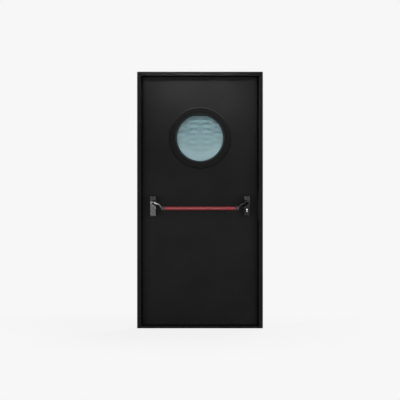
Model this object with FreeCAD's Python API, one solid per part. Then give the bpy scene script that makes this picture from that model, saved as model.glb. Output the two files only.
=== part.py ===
import FreeCAD, Part
import math
import os
from FreeCAD import Vector

# Fire exit door with a push bar and a porthole, in millimetres.
# X runs along the opening, with the hinges at -X and the lock at +X. Y runs through the wall:
# the push side, with the bar, faces -Y, and the leaf opens towards +Y. Z is up from the floor.
# The origin is on the floor, in the middle of the frame's width and depth.

# Frame: a folded sheet profile, open towards the wall.
FRAME_WIDTH = 1000.0
FRAME_HEIGHT = 2040.0
FRAME_DEPTH = 100.0
FRAME_SHEET = 2.0
FRAME_BEND = 1.0            # inner radius of each fold
FRAME_FACE = 32.0           # face on the push side
FRAME_REBATE_STEP = 12.0    # the face on the pull side is narrower by this
FRAME_RETURN = 15.0         # edge folded back along the wall
THRESHOLD_HEIGHT = 18.0
THRESHOLD_REAR_HEIGHT = 6.0
THRESHOLD_NOSE = 5.0        # slope at the front edge

# Leaf: two folded sheets over a core. The one on the pull side has a lip all round.
LEAF_RECESS = 35.0          # from the frame's face to the leaf's face on the push side
LEAF_LIP_THICK = 20.0
LEAF_SHEET = 1.5
LIP_RETURN = 16.0           # how far the lip's fold reaches behind the front sheet
BODY_SIDE_GAP = 12.0
BODY_END_GAP = 8.0
LIP_GAP = 5.5

# Rubber seal on the back of the frame's stop.
SEAL_ROOM = 5.0
SEAL_WIDTH = 9.0
SEAL_INSET = 2.0
SEAL_ROUND = 2.0
REST_GAP = 0.3              # pieces that meet when the door is closed

# Porthole: a pressed ring on each side, a rubber bead in each ring, and the fire glass.
PORTHOLE_FROM_TOP = 525.0
SIGHT_RADIUS = 183.5
BEAD_SHOWN = 13.5
BEAD_LIP = 4.0
BEAD_SET_BACK = 2.0
RING_FLANGE = 48.0
RING_PROUD = 8.0
RING_BEVEL = 6.0
RING_SHEET = 2.0
RING_SLEEVE_REACH = 14.0
GLASS_THICK = 24.0
GLASS_EDGE_COVER = 10.0
GLASS_FLAT_DROP = 9.9       # from the top of the round opening down to the glass's flat top
GLAZING_FIT = 0.5

# Strips that swell in a fire, on the edges of the leaf's front sheet.
STRIP_WIDTH = 10.0
STRIP_THICK = 2.0
STRIP_FROM_LIP = 2.0
STRIP_END = 30.0

# Mortice lock in the edge of the leaf.
LOCK_PLATE_WIDTH = 22.0
LOCK_PLATE_HEIGHT = 235.0
LOCK_PLATE_THICK = 3.0
LOCK_PLATE_FROM_FACE = 8.0
BOLT_THICK = 12.0
BOLT_PROUD = 3.0
BOLT_DEPTH = 24.0
BOLT_FIT = 0.3
LATCH_HEIGHT = 34.0
LATCH_SLOPE = 2.5
DEAD_BOLT_HEIGHT = 38.0
STRIKE_THICK = 2.0
STRIKE_MARGIN = 3.0
STRIKE_HOLE_FIT = 2.0

# Profile cylinder, and its rosette on the pull side.
CYLINDER_BELOW_PIVOT = 60.0
CYLINDER_RADIUS = 8.5
CYLINDER_HEIGHT = 33.0
CYLINDER_WEB = 10.0
CYLINDER_PROUD = 2.0
CYLINDER_FIT = 0.3
KEYWAY_WIDTH = 1.6
KEYWAY_HEIGHT = 8.0
KEYWAY_DEPTH = 12.0
ROSETTE_RADIUS = 27.0
ROSETTE_THICK = 8.0
ROSETTE_BEVEL = 2.0

# Hinges: flags in the lip's gap, and a barrel behind the frame and the leaf.
HINGE_FROM_END = 260.0
HINGE_LENGTH = 120.0
HINGE_FLAG_THICK = 2.4
HINGE_FLAG_START = 6.0      # from the stop's back face
HINGE_BARREL_RADIUS = 9.0
HINGE_BARREL_GAP = 1.0      # between the barrel and the faces that it stands behind
HINGE_PIN_RADIUS = 5.0
HINGE_PIN_CAP = 3.0
HINGE_PIN_BEVEL = 1.5
HINGE_KNUCKLES = 3
KNUCKLE_GAP = 0.4
PIN_FIT = 0.05

# End cases of the push bar, measured from the pin that the arm turns on.
PIVOT_HEIGHT = 1006.0
PIVOT_FROM_EDGE = 82.5      # from the edge of the leaf's front sheet
PIVOT_DEPTH = 21.0          # from the leaf's face
CASE_WIDTH = 45.0
CASE_DEPTH = 40.0
CASE_ABOVE_PIVOT = 45.0
CASE_BELOW_PIVOT = 114.0
CASE_PLATE_THICK = 3.0
CASE_WALL = 2.0
CASE_FIT = 0.5
CASE_ROUND = 4.0
HOOD_LOW_OUTER = 4.0
HOOD_LOW_INNER = 16.0
HOOD_SCREW_RADIUS = 4.5
HOOD_SCREW_DEPTH = 3.0
HOOD_SCREW_OUT = 6.0
HOOD_SCREW_ABOVE = 28.0
CHEEK_THICK = 3.0
CHEEK_ABOVE_PIVOT = 20.0
CHEEK_BELOW_PIVOT = 31.0
CHEEK_SETBACK = 5.0
COVER_ROUND = 6.0
# The cover's top edge: outwards from the case's middle, and down from the pivot.
COVER_SWEEP_MIDDLE = (6.0, 23.0)
COVER_SWEEP_END = (-12.0, 35.0)
COVER_SHOULDER = (-19.0, 41.0)
COVER_INNER_DROP = 51.0

# Push bar: a tube between two curved arms that turn on pins in the cases.
PIVOT_PIN_RADIUS = 4.0
HUB_RADIUS = 12.0
HUB_CLEAR = 5.0
BAR_BELOW_PIVOT = 51.5
BAR_STANDOFF = 85.0         # from the leaf's face to the bar's axis
BAR_RADIUS = 14.0
BAR_WALL = 2.0
BAR_END_FROM_PIVOT = 94.0   # where the socket begins, inwards from the case's middle
BAR_SEAT = 12.0
SOCKET_WALL = 1.5
SOCKET_LENGTH = 28.0
SOCKET_BEVEL = 4.0
ARM_RADIUS = 6.3
# Middle of the arm between hub and socket: inwards from the case's middle, out from the leaf,
# and down from the pivot.
ARM_BENDS = ((10.0, 54.0, 9.5), (49.5, 68.0, 20.0), (68.0, 84.0, 45.0))
ARM_RUN_SHARE = 0.45        # how much of each run an arc may take

# Fixing holes through the frame.
ANCHOR_FROM_END = 250.0
ANCHOR_RADIUS = 6.0
ANCHOR_SLEEVE_RADIUS = 10.0
ANCHOR_FROM_FACE = 20.0
THRESHOLD_ANCHOR_FROM_END = 200.0
THRESHOLD_ANCHOR_RADIUS = 5.0

# Planes and lines that several pieces share.
HALF_WIDTH = FRAME_WIDTH / 2
FRONT = -FRAME_DEPTH / 2
BACK = FRAME_DEPTH / 2
LIP_FRONT = BACK - LEAF_LIP_THICK
LEAF_FRONT = FRONT + LEAF_RECESS
STOP_BACK = LIP_FRONT - SEAL_ROOM
STOP_X = HALF_WIDTH - FRAME_FACE
REBATE_FACE = FRAME_FACE - FRAME_REBATE_STEP
REBATE_X = HALF_WIDTH - REBATE_FACE
BODY_X = STOP_X - BODY_SIDE_GAP
BODY_TOP = FRAME_HEIGHT - FRAME_FACE - BODY_END_GAP
BODY_BOTTOM = THRESHOLD_HEIGHT + BODY_END_GAP
LIP_X = REBATE_X - LIP_GAP
LIP_TOP = FRAME_HEIGHT - REBATE_FACE - LIP_GAP
LIP_BOTTOM = THRESHOLD_REAR_HEIGHT + LIP_GAP
PORTHOLE_Z = FRAME_HEIGHT - PORTHOLE_FROM_TOP
RING_BORE = SIGHT_RADIUS + BEAD_SHOWN
RING_RADIUS = RING_BORE + RING_FLANGE
GLASS_MIDDLE_Y = (LEAF_FRONT + BACK) / 2
GLASS_TOP = PORTHOLE_Z + SIGHT_RADIUS - GLASS_FLAT_DROP
HINGE_X = -(REBATE_X + LIP_X) / 2
HINGE_Y = BACK + HINGE_BARREL_GAP + HINGE_BARREL_RADIUS
HINGE_HEIGHTS = {
    "lower": HINGE_FROM_END,
    "middle": FRAME_HEIGHT / 2,
    "upper": FRAME_HEIGHT - HINGE_FROM_END,
}
ANCHOR_HEIGHTS = (ANCHOR_FROM_END, FRAME_HEIGHT / 2, FRAME_HEIGHT - ANCHOR_FROM_END)
ANCHOR_Y = FRONT + ANCHOR_FROM_FACE
CASE_X = BODY_X - PIVOT_FROM_EDGE
CASE_HALF = CASE_WIDTH / 2
CASE_INSIDE = CASE_HALF - CASE_WALL - CASE_FIT
CASE_FRONT = LEAF_FRONT - CASE_DEPTH
CASE_BOTTOM = PIVOT_HEIGHT - CASE_BELOW_PIVOT
PIVOT = Vector(CASE_X, LEAF_FRONT - PIVOT_DEPTH, PIVOT_HEIGHT)
CYLINDER_Z = PIVOT_HEIGHT - CYLINDER_BELOW_PIVOT
LOCK_Y = LEAF_FRONT + LOCK_PLATE_FROM_FACE + LOCK_PLATE_WIDTH / 2
BAR_END_X = CASE_X - BAR_END_FROM_PIVOT
BAR_Y = LEAF_FRONT - BAR_STANDOFF
BAR_Z = PIVOT_HEIGHT - BAR_BELOW_PIVOT
# Middle height and size of the latch bolt, level with the pivot, and of the dead bolt.
BOLTS = ((PIVOT_HEIGHT, LATCH_HEIGHT), (CYLINDER_Z, DEAD_BOLT_HEIGHT))
BEYOND = 10.0               # how far a cutting shape runs past the piece that it cuts


def block(x_range, y_range, z_range):
    """A box between three pairs of limits, given in any order."""
    lows = [min(pair) for pair in (x_range, y_range, z_range)]
    highs = [max(pair) for pair in (x_range, y_range, z_range)]
    sides = [high - low for low, high in zip(lows, highs)]
    return Part.makeBox(*sides, Vector(*lows))


def rod(radius, start, end):
    """A round bar between two points."""
    axis = end - start
    return Part.makeCylinder(radius, axis.Length, start, axis)


def corner_arc(before, corner, after, radius):
    """Where a tangent arc leaves the first run, its middle, and where it meets the second."""
    incoming = (corner - before).normalize()
    outgoing = (after - corner).normalize()
    turn = incoming.getAngle(outgoing)
    reach = radius * math.tan(turn / 2)
    start = corner - incoming * reach
    end = corner + outgoing * reach
    inward = (outgoing - incoming).normalize()
    middle = corner + inward * (radius / math.cos(turn / 2) - radius)
    return start, middle, end


def rounded_outline(corners):
    """A closed wire from (point, radius) pairs, where a radius of 0 leaves the corner sharp."""
    edges = []
    stops = []
    count = len(corners)
    for index, (point, radius) in enumerate(corners):
        before = corners[index - 1][0]
        after = corners[(index + 1) % count][0]
        if radius > 0:
            start, middle, end = corner_arc(before, point, after, radius)
            edges.append(Part.Arc(start, middle, end).toShape())
            stops.append((start, end))
        else:
            stops.append((point, point))
    for index in range(count):
        leaving = stops[index][1]
        reaching = stops[(index + 1) % count][0]
        edges.append(Part.LineSegment(leaving, reaching).toShape())
    return Part.Wire(Part.__sortEdges__(edges))


def bent_path(points):
    """Straight runs joined by tangent arcs that are as large as the runs allow."""
    edges = []
    here = points[0]
    for index in range(1, len(points) - 1):
        before, corner, after = points[index - 1:index + 2]
        turn = (corner - before).getAngle(after - corner)
        shorter = min((corner - before).Length, (after - corner).Length)
        radius = ARM_RUN_SHARE * shorter / math.tan(turn / 2)
        start, middle, end = corner_arc(before, corner, after, radius)
        edges.append(Part.LineSegment(here, start).toShape())
        edges.append(Part.Arc(start, middle, end).toShape())
        here = end
    edges.append(Part.LineSegment(here, points[-1]).toShape())
    return Part.Wire(edges)


def pulled(corners, direction):
    """A solid with the closed outline of (point, radius) corners, pulled along the direction."""
    return Part.Face(rounded_outline(corners)).extrude(direction)


def turned(section):
    """A ring about the porthole's axis from (radius, y, corner radius) points."""
    corners = [(Vector(radius, y, PORTHOLE_Z), corner) for radius, y, corner in section]
    face = Part.Face(rounded_outline(corners))
    return face.revolve(Vector(0, 0, PORTHOLE_Z), Vector(0, 1, 0), 360)


def mirrored(shape):
    """The same piece on the other side of the door."""
    return shape.mirror(Vector(0, 0, 0), Vector(1, 0, 0))


def near(value, target):
    return abs(value - target) < 1e-6


def edges_where(shape, test):
    """The edges whose middle point passes the test."""
    chosen = []
    for edge in shape.Edges:
        middle = edge.valueAt((edge.FirstParameter + edge.LastParameter) / 2)
        if test(middle):
            chosen.append(edge)
    return chosen


def frame_section():
    """The frame's section, outside then inside: distance from the outer edge, y, fold radius."""
    outer_fold = FRAME_BEND + FRAME_SHEET
    sheet = FRAME_SHEET
    outside = [
        (0, FRONT + FRAME_RETURN, 0),
        (0, FRONT, outer_fold),
        (FRAME_FACE, FRONT, outer_fold),
        (FRAME_FACE, STOP_BACK, outer_fold),
        (REBATE_FACE, STOP_BACK, FRAME_BEND),
        (REBATE_FACE, BACK, outer_fold),
        (0, BACK, outer_fold),
        (0, BACK - FRAME_RETURN, 0),
    ]
    inside = [
        (sheet, BACK - FRAME_RETURN, 0),
        (sheet, BACK - sheet, FRAME_BEND),
        (REBATE_FACE - sheet, BACK - sheet, FRAME_BEND),
        (REBATE_FACE - sheet, STOP_BACK - sheet, outer_fold),
        (FRAME_FACE - sheet, STOP_BACK - sheet, FRAME_BEND),
        (FRAME_FACE - sheet, FRONT + sheet, FRAME_BEND),
        (sheet, FRONT + sheet, FRAME_BEND),
        (sheet, FRONT + FRAME_RETURN, 0),
    ]
    return outside + inside


def mitre_room(points):
    """The room that one length of the frame may fill, seen from the front and cut at the mitres."""
    corners = [(Vector(x, FRONT - BEYOND, z), 0) for x, z in points]
    return pulled(corners, Vector(0, FRAME_DEPTH + 2 * BEYOND, 0))


def jamb_hinge_side():
    section = [(Vector(u - HALF_WIDTH, y, 0), fold) for u, y, fold in frame_section()]
    jamb = pulled(section, Vector(0, 0, FRAME_HEIGHT))
    jamb = jamb.common(mitre_room([
        (-HALF_WIDTH, 0),
        (-HALF_WIDTH, FRAME_HEIGHT),
        (-STOP_X, FRAME_HEIGHT - FRAME_FACE),
        (-STOP_X, 0),
    ]))
    for height in ANCHOR_HEIGHTS:
        wall_end = Vector(-HALF_WIDTH, ANCHOR_Y, height)
        sheet_end = Vector(-STOP_X - FRAME_SHEET, ANCHOR_Y, height)
        opening_end = Vector(-STOP_X, ANCHOR_Y, height)
        jamb = jamb.fuse(rod(ANCHOR_SLEEVE_RADIUS, wall_end, sheet_end))
        jamb = jamb.cut(rod(ANCHOR_RADIUS, wall_end, opening_end))
    return jamb.removeSplitter()


def jamb_lock_side():
    return mirrored(jamb_hinge_side()).cut(strike_holes())


def head():
    section = [(Vector(-HALF_WIDTH, y, FRAME_HEIGHT - u), fold) for u, y, fold in frame_section()]
    return pulled(section, Vector(FRAME_WIDTH, 0, 0)).common(mitre_room([
        (-HALF_WIDTH, FRAME_HEIGHT),
        (HALF_WIDTH, FRAME_HEIGHT),
        (STOP_X, FRAME_HEIGHT - FRAME_FACE),
        (-STOP_X, FRAME_HEIGHT - FRAME_FACE),
    ]))


def threshold():
    """A bar between the jambs, with a low part behind it that the leaf's lip passes over."""
    side = [
        (Vector(-STOP_X, FRONT, 0), 0),
        (Vector(-STOP_X, FRONT, THRESHOLD_HEIGHT - THRESHOLD_NOSE), 0),
        (Vector(-STOP_X, FRONT + THRESHOLD_NOSE, THRESHOLD_HEIGHT), 0),
        (Vector(-STOP_X, STOP_BACK, THRESHOLD_HEIGHT), 0),
        (Vector(-STOP_X, STOP_BACK, 0), 0),
    ]
    sill = pulled(side, Vector(2 * STOP_X, 0, 0))
    rear_end = REBATE_X - FRAME_BEND
    rear = block((-rear_end, rear_end), (STOP_BACK, BACK), (0, THRESHOLD_REAR_HEIGHT))
    sill = sill.fuse(rear).removeSplitter()
    anchor_x = HALF_WIDTH - THRESHOLD_ANCHOR_FROM_END
    for x in (-anchor_x, anchor_x):
        bottom = Vector(x, ANCHOR_Y, 0)
        top = bottom + Vector(0, 0, THRESHOLD_HEIGHT)
        sill = sill.cut(rod(THRESHOLD_ANCHOR_RADIUS, bottom, top))
    return sill


def seal(outline_at, low, high, along):
    """A rubber strip on the back of the stop, with its free edges rounded."""
    tip = LIP_FRONT - REST_GAP
    corners = [
        (outline_at(low, STOP_BACK), 0),
        (outline_at(high, STOP_BACK), 0),
        (outline_at(high, tip), SEAL_ROUND),
        (outline_at(low, tip), SEAL_ROUND),
    ]
    return pulled(corners, along)


def seal_hinge_side():
    """An upright strip in the corner between the stop and the rebate."""
    outer = SEAL_INSET - REBATE_X
    top = FRAME_HEIGHT - REBATE_FACE - SEAL_INSET
    along = Vector(0, 0, top - THRESHOLD_REAR_HEIGHT)
    return seal(lambda x, y: Vector(x, y, THRESHOLD_REAR_HEIGHT), outer, outer + SEAL_WIDTH, along)


def seal_across(low, high):
    """A level strip between the two upright ones."""
    end = REBATE_X - SEAL_INSET - SEAL_WIDTH
    return seal(lambda z, y: Vector(-end, y, z), low, high, Vector(2 * end, 0, 0))


def seal_head():
    top = FRAME_HEIGHT - REBATE_FACE - SEAL_INSET
    return seal_across(top - SEAL_WIDTH, top)


def seal_threshold():
    return seal_across(THRESHOLD_REAR_HEIGHT, THRESHOLD_HEIGHT)


def leaf_openings():
    """What is cut out of the leaf: the porthole, the cylinder's hole and the lock's recess."""
    hole_radius = RING_BORE + RING_SHEET + GLAZING_FIT
    start = Vector(0, LEAF_FRONT - BEYOND, PORTHOLE_Z)
    porthole = rod(hole_radius, start, Vector(0, BACK + BEYOND, PORTHOLE_Z))
    cylinder_hole = cylinder_solid(LEAF_FRONT - BEYOND, BACK + BEYOND, CYLINDER_FIT)
    plate_x = BODY_X - LOCK_PLATE_THICK
    recess = lock_block(plate_x, BODY_X + BEYOND, LOCK_PLATE_WIDTH, LOCK_PLATE_HEIGHT)
    pockets = [bolt_block(bolt, plate_x - BOLT_DEPTH, plate_x, BOLT_FIT) for bolt in BOLTS]
    return [porthole, cylinder_hole, recess] + pockets


def leaf_push_side():
    """The front sheet, folded back along its four edges."""
    sheet = LEAF_SHEET
    outside = block((-BODY_X, BODY_X), (LEAF_FRONT, LIP_FRONT), (BODY_BOTTOM, BODY_TOP))
    folds = edges_where(outside, lambda point: near(point.y, LEAF_FRONT))
    inside = block(
        (sheet - BODY_X, BODY_X - sheet),
        (LEAF_FRONT + sheet, LIP_FRONT),
        (BODY_BOTTOM + sheet, BODY_TOP - sheet),
    )
    return outside.makeFillet(sheet, folds).cut(inside).cut(leaf_openings())


def leaf_pull_side():
    """The back sheet, folded round the lip and back behind the edge of the front sheet."""
    sheet = LEAF_SHEET
    outside = block((-LIP_X, LIP_X), (LIP_FRONT, BACK), (LIP_BOTTOM, LIP_TOP))
    folds = edges_where(outside, lambda point: near(point.y, BACK))
    inside = block(
        (sheet - LIP_X, LIP_X - sheet),
        (LIP_FRONT + sheet, BACK - sheet),
        (LIP_BOTTOM + sheet, LIP_TOP - sheet),
    )
    mouth = block(*core_mouth())
    return outside.makeFillet(sheet, folds).cut(inside).cut(mouth).cut(leaf_openings())


def core_mouth():
    """Where the back sheet is open towards the front sheet."""
    return (
        (LIP_RETURN - BODY_X, BODY_X - LIP_RETURN),
        (LIP_FRONT, LIP_FRONT + LEAF_SHEET),
        (BODY_BOTTOM + LIP_RETURN, BODY_TOP - LIP_RETURN),
    )


def leaf_core():
    """The mineral wool that fills both sheets."""
    sheet = LEAF_SHEET
    front = block(
        (sheet - BODY_X, BODY_X - sheet),
        (LEAF_FRONT + sheet, LIP_FRONT),
        (BODY_BOTTOM + sheet, BODY_TOP - sheet),
    )
    back = block(
        (sheet - LIP_X, LIP_X - sheet),
        (LIP_FRONT + sheet, BACK - sheet),
        (LIP_BOTTOM + sheet, LIP_TOP - sheet),
    )
    middle = block(*core_mouth())
    return front.fuse(middle).fuse(back).cut(leaf_openings()).removeSplitter()


def porthole_ring(face_y, outward):
    """A pressed ring: a bevelled flange on the leaf, and a sleeve that lines the hole."""
    sheet = RING_SHEET
    top_y = face_y + outward * RING_PROUD
    under_y = top_y - outward * sheet
    end_y = face_y - outward * RING_SLEEVE_REACH
    bevel_y = top_y - outward * RING_BEVEL
    inner_bevel_radius = RING_RADIUS - RING_BEVEL - sheet / 2
    return turned([
        (RING_BORE, end_y, 0),
        (RING_BORE, top_y, 0),
        (RING_RADIUS - RING_BEVEL, top_y, 0),
        (RING_RADIUS, bevel_y, 0),
        (RING_RADIUS, face_y, 0),
        (RING_RADIUS - sheet, face_y, 0),
        (RING_RADIUS - sheet, bevel_y, 0),
        (inner_bevel_radius, under_y, 0),
        (RING_BORE + sheet, under_y, 0),
        (RING_BORE + sheet, end_y, 0),
    ])


def porthole_bead(face_y, outward):
    """A rubber bead that slopes from the ring down to the glass."""
    glass_y = GLASS_MIDDLE_Y + outward * GLASS_THICK / 2
    outer = RING_BORE - GLAZING_FIT
    edge_y = face_y + outward * BEAD_SET_BACK
    return turned([
        (SIGHT_RADIUS, glass_y, 0),
        (SIGHT_RADIUS, glass_y + outward * BEAD_LIP, 0),
        (outer - BEAD_LIP, edge_y, 0),
        (outer, edge_y, 0),
        (outer, glass_y, 0),
    ])


def pane_disc():
    front = Vector(0, GLASS_MIDDLE_Y - GLASS_THICK / 2, PORTHOLE_Z)
    return rod(SIGHT_RADIUS + GLASS_EDGE_COVER, front, front + Vector(0, GLASS_THICK, 0))


def above_glass():
    return block((-RING_RADIUS, RING_RADIUS), (FRONT, BACK), (GLASS_TOP, FRAME_HEIGHT))


def porthole_glass():
    return pane_disc().cut(above_glass())


def glazing_block():
    """The packing that fills the ring above the flat top of the glass."""
    return pane_disc().common(above_glass())


def intumescent_strips():
    """One strip on each upright edge of the front sheet, and one along its top."""
    y_range = (LIP_FRONT - STRIP_FROM_LIP - STRIP_WIDTH, LIP_FRONT - STRIP_FROM_LIP)
    upright = (BODY_BOTTOM + STRIP_END, BODY_TOP - STRIP_END)
    strips = []
    for edge_x in (-BODY_X, BODY_X):
        outer_x = edge_x + math.copysign(STRIP_THICK, edge_x)
        strips.append(block((edge_x, outer_x), y_range, upright))
    across = (STRIP_END - BODY_X, BODY_X - STRIP_END)
    strips.append(block(across, y_range, (BODY_TOP, BODY_TOP + STRIP_THICK)))
    return Part.makeCompound(strips)


def lock_block(x_start, x_end, width, height):
    """A box centred on the lock, as wide and tall as given."""
    middle = (PIVOT_HEIGHT + CYLINDER_Z) / 2
    return block(
        (x_start, x_end),
        (LOCK_Y - width / 2, LOCK_Y + width / 2),
        (middle - height / 2, middle + height / 2),
    )


def bolt_block(bolt, x_start, x_end, clearance):
    """A box round one of the bolts, with the clearance on its four sides."""
    middle, height = bolt
    half_y = BOLT_THICK / 2 + clearance
    half_z = height / 2 + clearance
    y_range = (LOCK_Y - half_y, LOCK_Y + half_y)
    z_range = (middle - half_z, middle + half_z)
    return block((x_start, x_end), y_range, z_range)


def lock_faceplate():
    plate_x = BODY_X - LOCK_PLATE_THICK
    plate = lock_block(plate_x, BODY_X, LOCK_PLATE_WIDTH, LOCK_PLATE_HEIGHT)
    return plate.cut([bolt_block(bolt, plate_x, BODY_X, BOLT_FIT) for bolt in BOLTS])


def bolt_solid(bolt):
    """A bolt drawn back until only its end stands out of the faceplate."""
    return bolt_block(bolt, BODY_X - LOCK_PLATE_THICK - BOLT_DEPTH, BODY_X + BOLT_PROUD, 0)


def latch_bolt():
    """The slope on its nose lets it spring past the strike plate as the door closes."""
    bolt = bolt_solid(BOLTS[0])
    nose_x = BODY_X + BOLT_PROUD
    nose_y = LOCK_Y - BOLT_THICK / 2
    nose = edges_where(bolt, lambda point: near(point.x, nose_x) and near(point.y, nose_y))
    return bolt.makeChamfer(LATCH_SLOPE, nose)


def strike_plate():
    width = LOCK_PLATE_WIDTH + 2 * STRIKE_MARGIN
    height = LOCK_PLATE_HEIGHT + 2 * STRIKE_MARGIN
    return lock_block(STOP_X - STRIKE_THICK, STOP_X, width, height).cut(strike_holes())


def strike_holes():
    """Where the bolts enter the lock side jamb, through the strike plate and the sheet."""
    start = STOP_X - STRIKE_THICK
    end = STOP_X + FRAME_SHEET
    return [bolt_block(bolt, start, end, STRIKE_HOLE_FIT) for bolt in BOLTS]


def cylinder_solid(y_start, y_end, clearance):
    """The keyhole-shaped body of a profile cylinder, from the push side to the pull side."""
    length = y_end - y_start
    along = Vector(0, 1, 0)
    half_web = CYLINDER_WEB / 2 + clearance
    foot_z = CYLINDER_Z + CYLINDER_RADIUS - CYLINDER_HEIGHT + CYLINDER_WEB / 2
    barrel_start = Vector(CASE_X, y_start, CYLINDER_Z)
    barrel = Part.makeCylinder(CYLINDER_RADIUS + clearance, length, barrel_start, along)
    foot = Part.makeCylinder(half_web, length, Vector(CASE_X, y_start, foot_z), along)
    web = block((CASE_X - half_web, CASE_X + half_web), (y_start, y_end), (foot_z, CYLINDER_Z))
    return barrel.fuse(web).fuse(foot).removeSplitter()


def cylinder_hole():
    """What is cut for the cylinder out of the pieces on both faces of the leaf."""
    return cylinder_solid(CASE_FRONT - BEYOND, BACK + ROSETTE_THICK + BEYOND, CYLINDER_FIT)


def lock_cylinder():
    front = CASE_FRONT - CYLINDER_PROUD
    back = BACK + ROSETTE_THICK + CYLINDER_PROUD
    keyway_x = (CASE_X - KEYWAY_WIDTH / 2, CASE_X + KEYWAY_WIDTH / 2)
    keyway_z = (CYLINDER_Z - KEYWAY_HEIGHT / 2, CYLINDER_Z + KEYWAY_HEIGHT / 2)
    keyways = [
        block(keyway_x, (front, front + KEYWAY_DEPTH), keyway_z),
        block(keyway_x, (back - KEYWAY_DEPTH, back), keyway_z),
    ]
    return cylinder_solid(front, back, 0).cut(keyways)


def cylinder_rosette():
    start = Vector(CASE_X, BACK, CYLINDER_Z - CYLINDER_RADIUS)
    disc = rod(ROSETTE_RADIUS, start, start + Vector(0, ROSETTE_THICK, 0))
    rim = edges_where(disc, lambda point: near(point.y, BACK + ROSETTE_THICK))
    return disc.makeChamfer(ROSETTE_BEVEL, rim).cut(cylinder_hole())


def knuckle_spans(height, of_frame):
    """The (low, high) heights of the knuckles of one half, which alternate along the pin."""
    pitch = HINGE_LENGTH / HINGE_KNUCKLES
    spans = []
    for index in range(HINGE_KNUCKLES):
        low = height - HINGE_LENGTH / 2 + index * pitch
        if (index % 2 == 0) == of_frame:
            spans.append((low + KNUCKLE_GAP / 2, low + pitch - KNUCKLE_GAP / 2))
    return spans


def hinge_half(height, of_frame):
    """A flag on the frame or on the leaf, with the knuckles that it carries."""
    if of_frame:
        flag_x = (-REBATE_X, HINGE_FLAG_THICK - REBATE_X)
    else:
        flag_x = (-LIP_X - HINGE_FLAG_THICK, -LIP_X)
    flag_start = STOP_BACK + HINGE_FLAG_START
    flag_end = HINGE_Y - HINGE_BARREL_RADIUS - KNUCKLE_GAP
    flag_z = (height - HINGE_LENGTH / 2, height + HINGE_LENGTH / 2)
    half = block(flag_x, (flag_start, flag_end), flag_z)
    for low, high in knuckle_spans(height, of_frame):
        neck = block(flag_x, (flag_start, HINGE_Y), (low, high))
        bottom = Vector(HINGE_X, HINGE_Y, low)
        barrel = rod(HINGE_BARREL_RADIUS, bottom, Vector(HINGE_X, HINGE_Y, high))
        half = half.fuse(neck).fuse(barrel)
    bore_start = Vector(HINGE_X, HINGE_Y, height - HINGE_LENGTH)
    bore = rod(HINGE_PIN_RADIUS + PIN_FIT, bore_start, bore_start + Vector(0, 0, 2 * HINGE_LENGTH))
    return half.cut(bore).removeSplitter()


def hinge_pin(height):
    """A pin with a bevelled cap at each end of the barrel."""
    axis = Vector(HINGE_X, HINGE_Y, height)
    to_barrel_end = Vector(0, 0, HINGE_LENGTH / 2 - KNUCKLE_GAP / 2)
    to_cap_end = to_barrel_end + Vector(0, 0, HINGE_PIN_CAP)
    pin = rod(HINGE_PIN_RADIUS, axis - to_cap_end, axis + to_cap_end)
    for barrel_end, cap_end in ((-to_barrel_end, -to_cap_end), (to_barrel_end, to_cap_end)):
        cap = rod(HINGE_BARREL_RADIUS, axis + barrel_end, axis + cap_end)
        rim = edges_where(cap, lambda point: near(point.z, (axis + cap_end).z))
        pin = pin.fuse(cap.makeChamfer(HINGE_PIN_BEVEL, rim))
    return pin.removeSplitter()


def case_point(outwards, down):
    """A point on the plane in front of the lock side case."""
    return Vector(CASE_X + outwards, CASE_FRONT, PIVOT_HEIGHT - down)


def end_case():
    """The lock side case: a hood over the hub, two cheeks below it and a plate on the leaf."""
    hood_corners = [
        (case_point(CASE_HALF, -HOOD_LOW_OUTER), 0),
        (case_point(CASE_HALF, -CASE_ABOVE_PIVOT), 0),
        (case_point(-CASE_HALF, -CASE_ABOVE_PIVOT), 0),
        (case_point(-CASE_HALF, -HOOD_LOW_INNER), 0),
    ]
    case = pulled(hood_corners, Vector(0, CASE_DEPTH, 0))
    lower_edge = PIVOT_HEIGHT + HOOD_LOW_INNER
    rounded = edges_where(case, lambda point: near(point.y, CASE_FRONT) and point.z > lower_edge)
    case = case.makeFillet(CASE_ROUND, rounded)
    plate_x = (CASE_X - CASE_INSIDE, CASE_X + CASE_INSIDE)
    cheek_top = PIVOT_HEIGHT + CHEEK_ABOVE_PIVOT
    plate_z = (CASE_BOTTOM + CASE_WALL + CASE_FIT, cheek_top)
    case = case.fuse(block(plate_x, (LEAF_FRONT - CASE_PLATE_THICK, LEAF_FRONT), plate_z))
    cheek_y = (CASE_FRONT + CHEEK_SETBACK, LEAF_FRONT)
    cheek_z = (PIVOT_HEIGHT - CHEEK_BELOW_PIVOT, cheek_top)
    for side in (-1, 1):
        outer_x = CASE_X + side * CASE_INSIDE
        case = case.fuse(block((outer_x - side * CHEEK_THICK, outer_x), cheek_y, cheek_z))
    along = Vector(CASE_INSIDE - CHEEK_THICK, 0, 0)
    case = case.cut(rod(HUB_RADIUS + HUB_CLEAR, PIVOT - along, PIVOT + along))
    below_hub = block(
        (CASE_X - along.x, CASE_X + along.x),
        (CASE_FRONT + CASE_WALL, LEAF_FRONT - CASE_PLATE_THICK),
        (cheek_z[0], PIVOT_HEIGHT),
    )
    case = case.cut(below_hub)
    pin_reach = Vector(CASE_INSIDE, 0, 0)
    case = case.cut(rod(PIVOT_PIN_RADIUS + PIN_FIT, PIVOT - pin_reach, PIVOT + pin_reach))
    screw = case_point(HOOD_SCREW_OUT, -HOOD_SCREW_ABOVE)
    return case.cut(rod(HOOD_SCREW_RADIUS, screw, screw + Vector(0, HOOD_SCREW_DEPTH, 0)))


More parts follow.
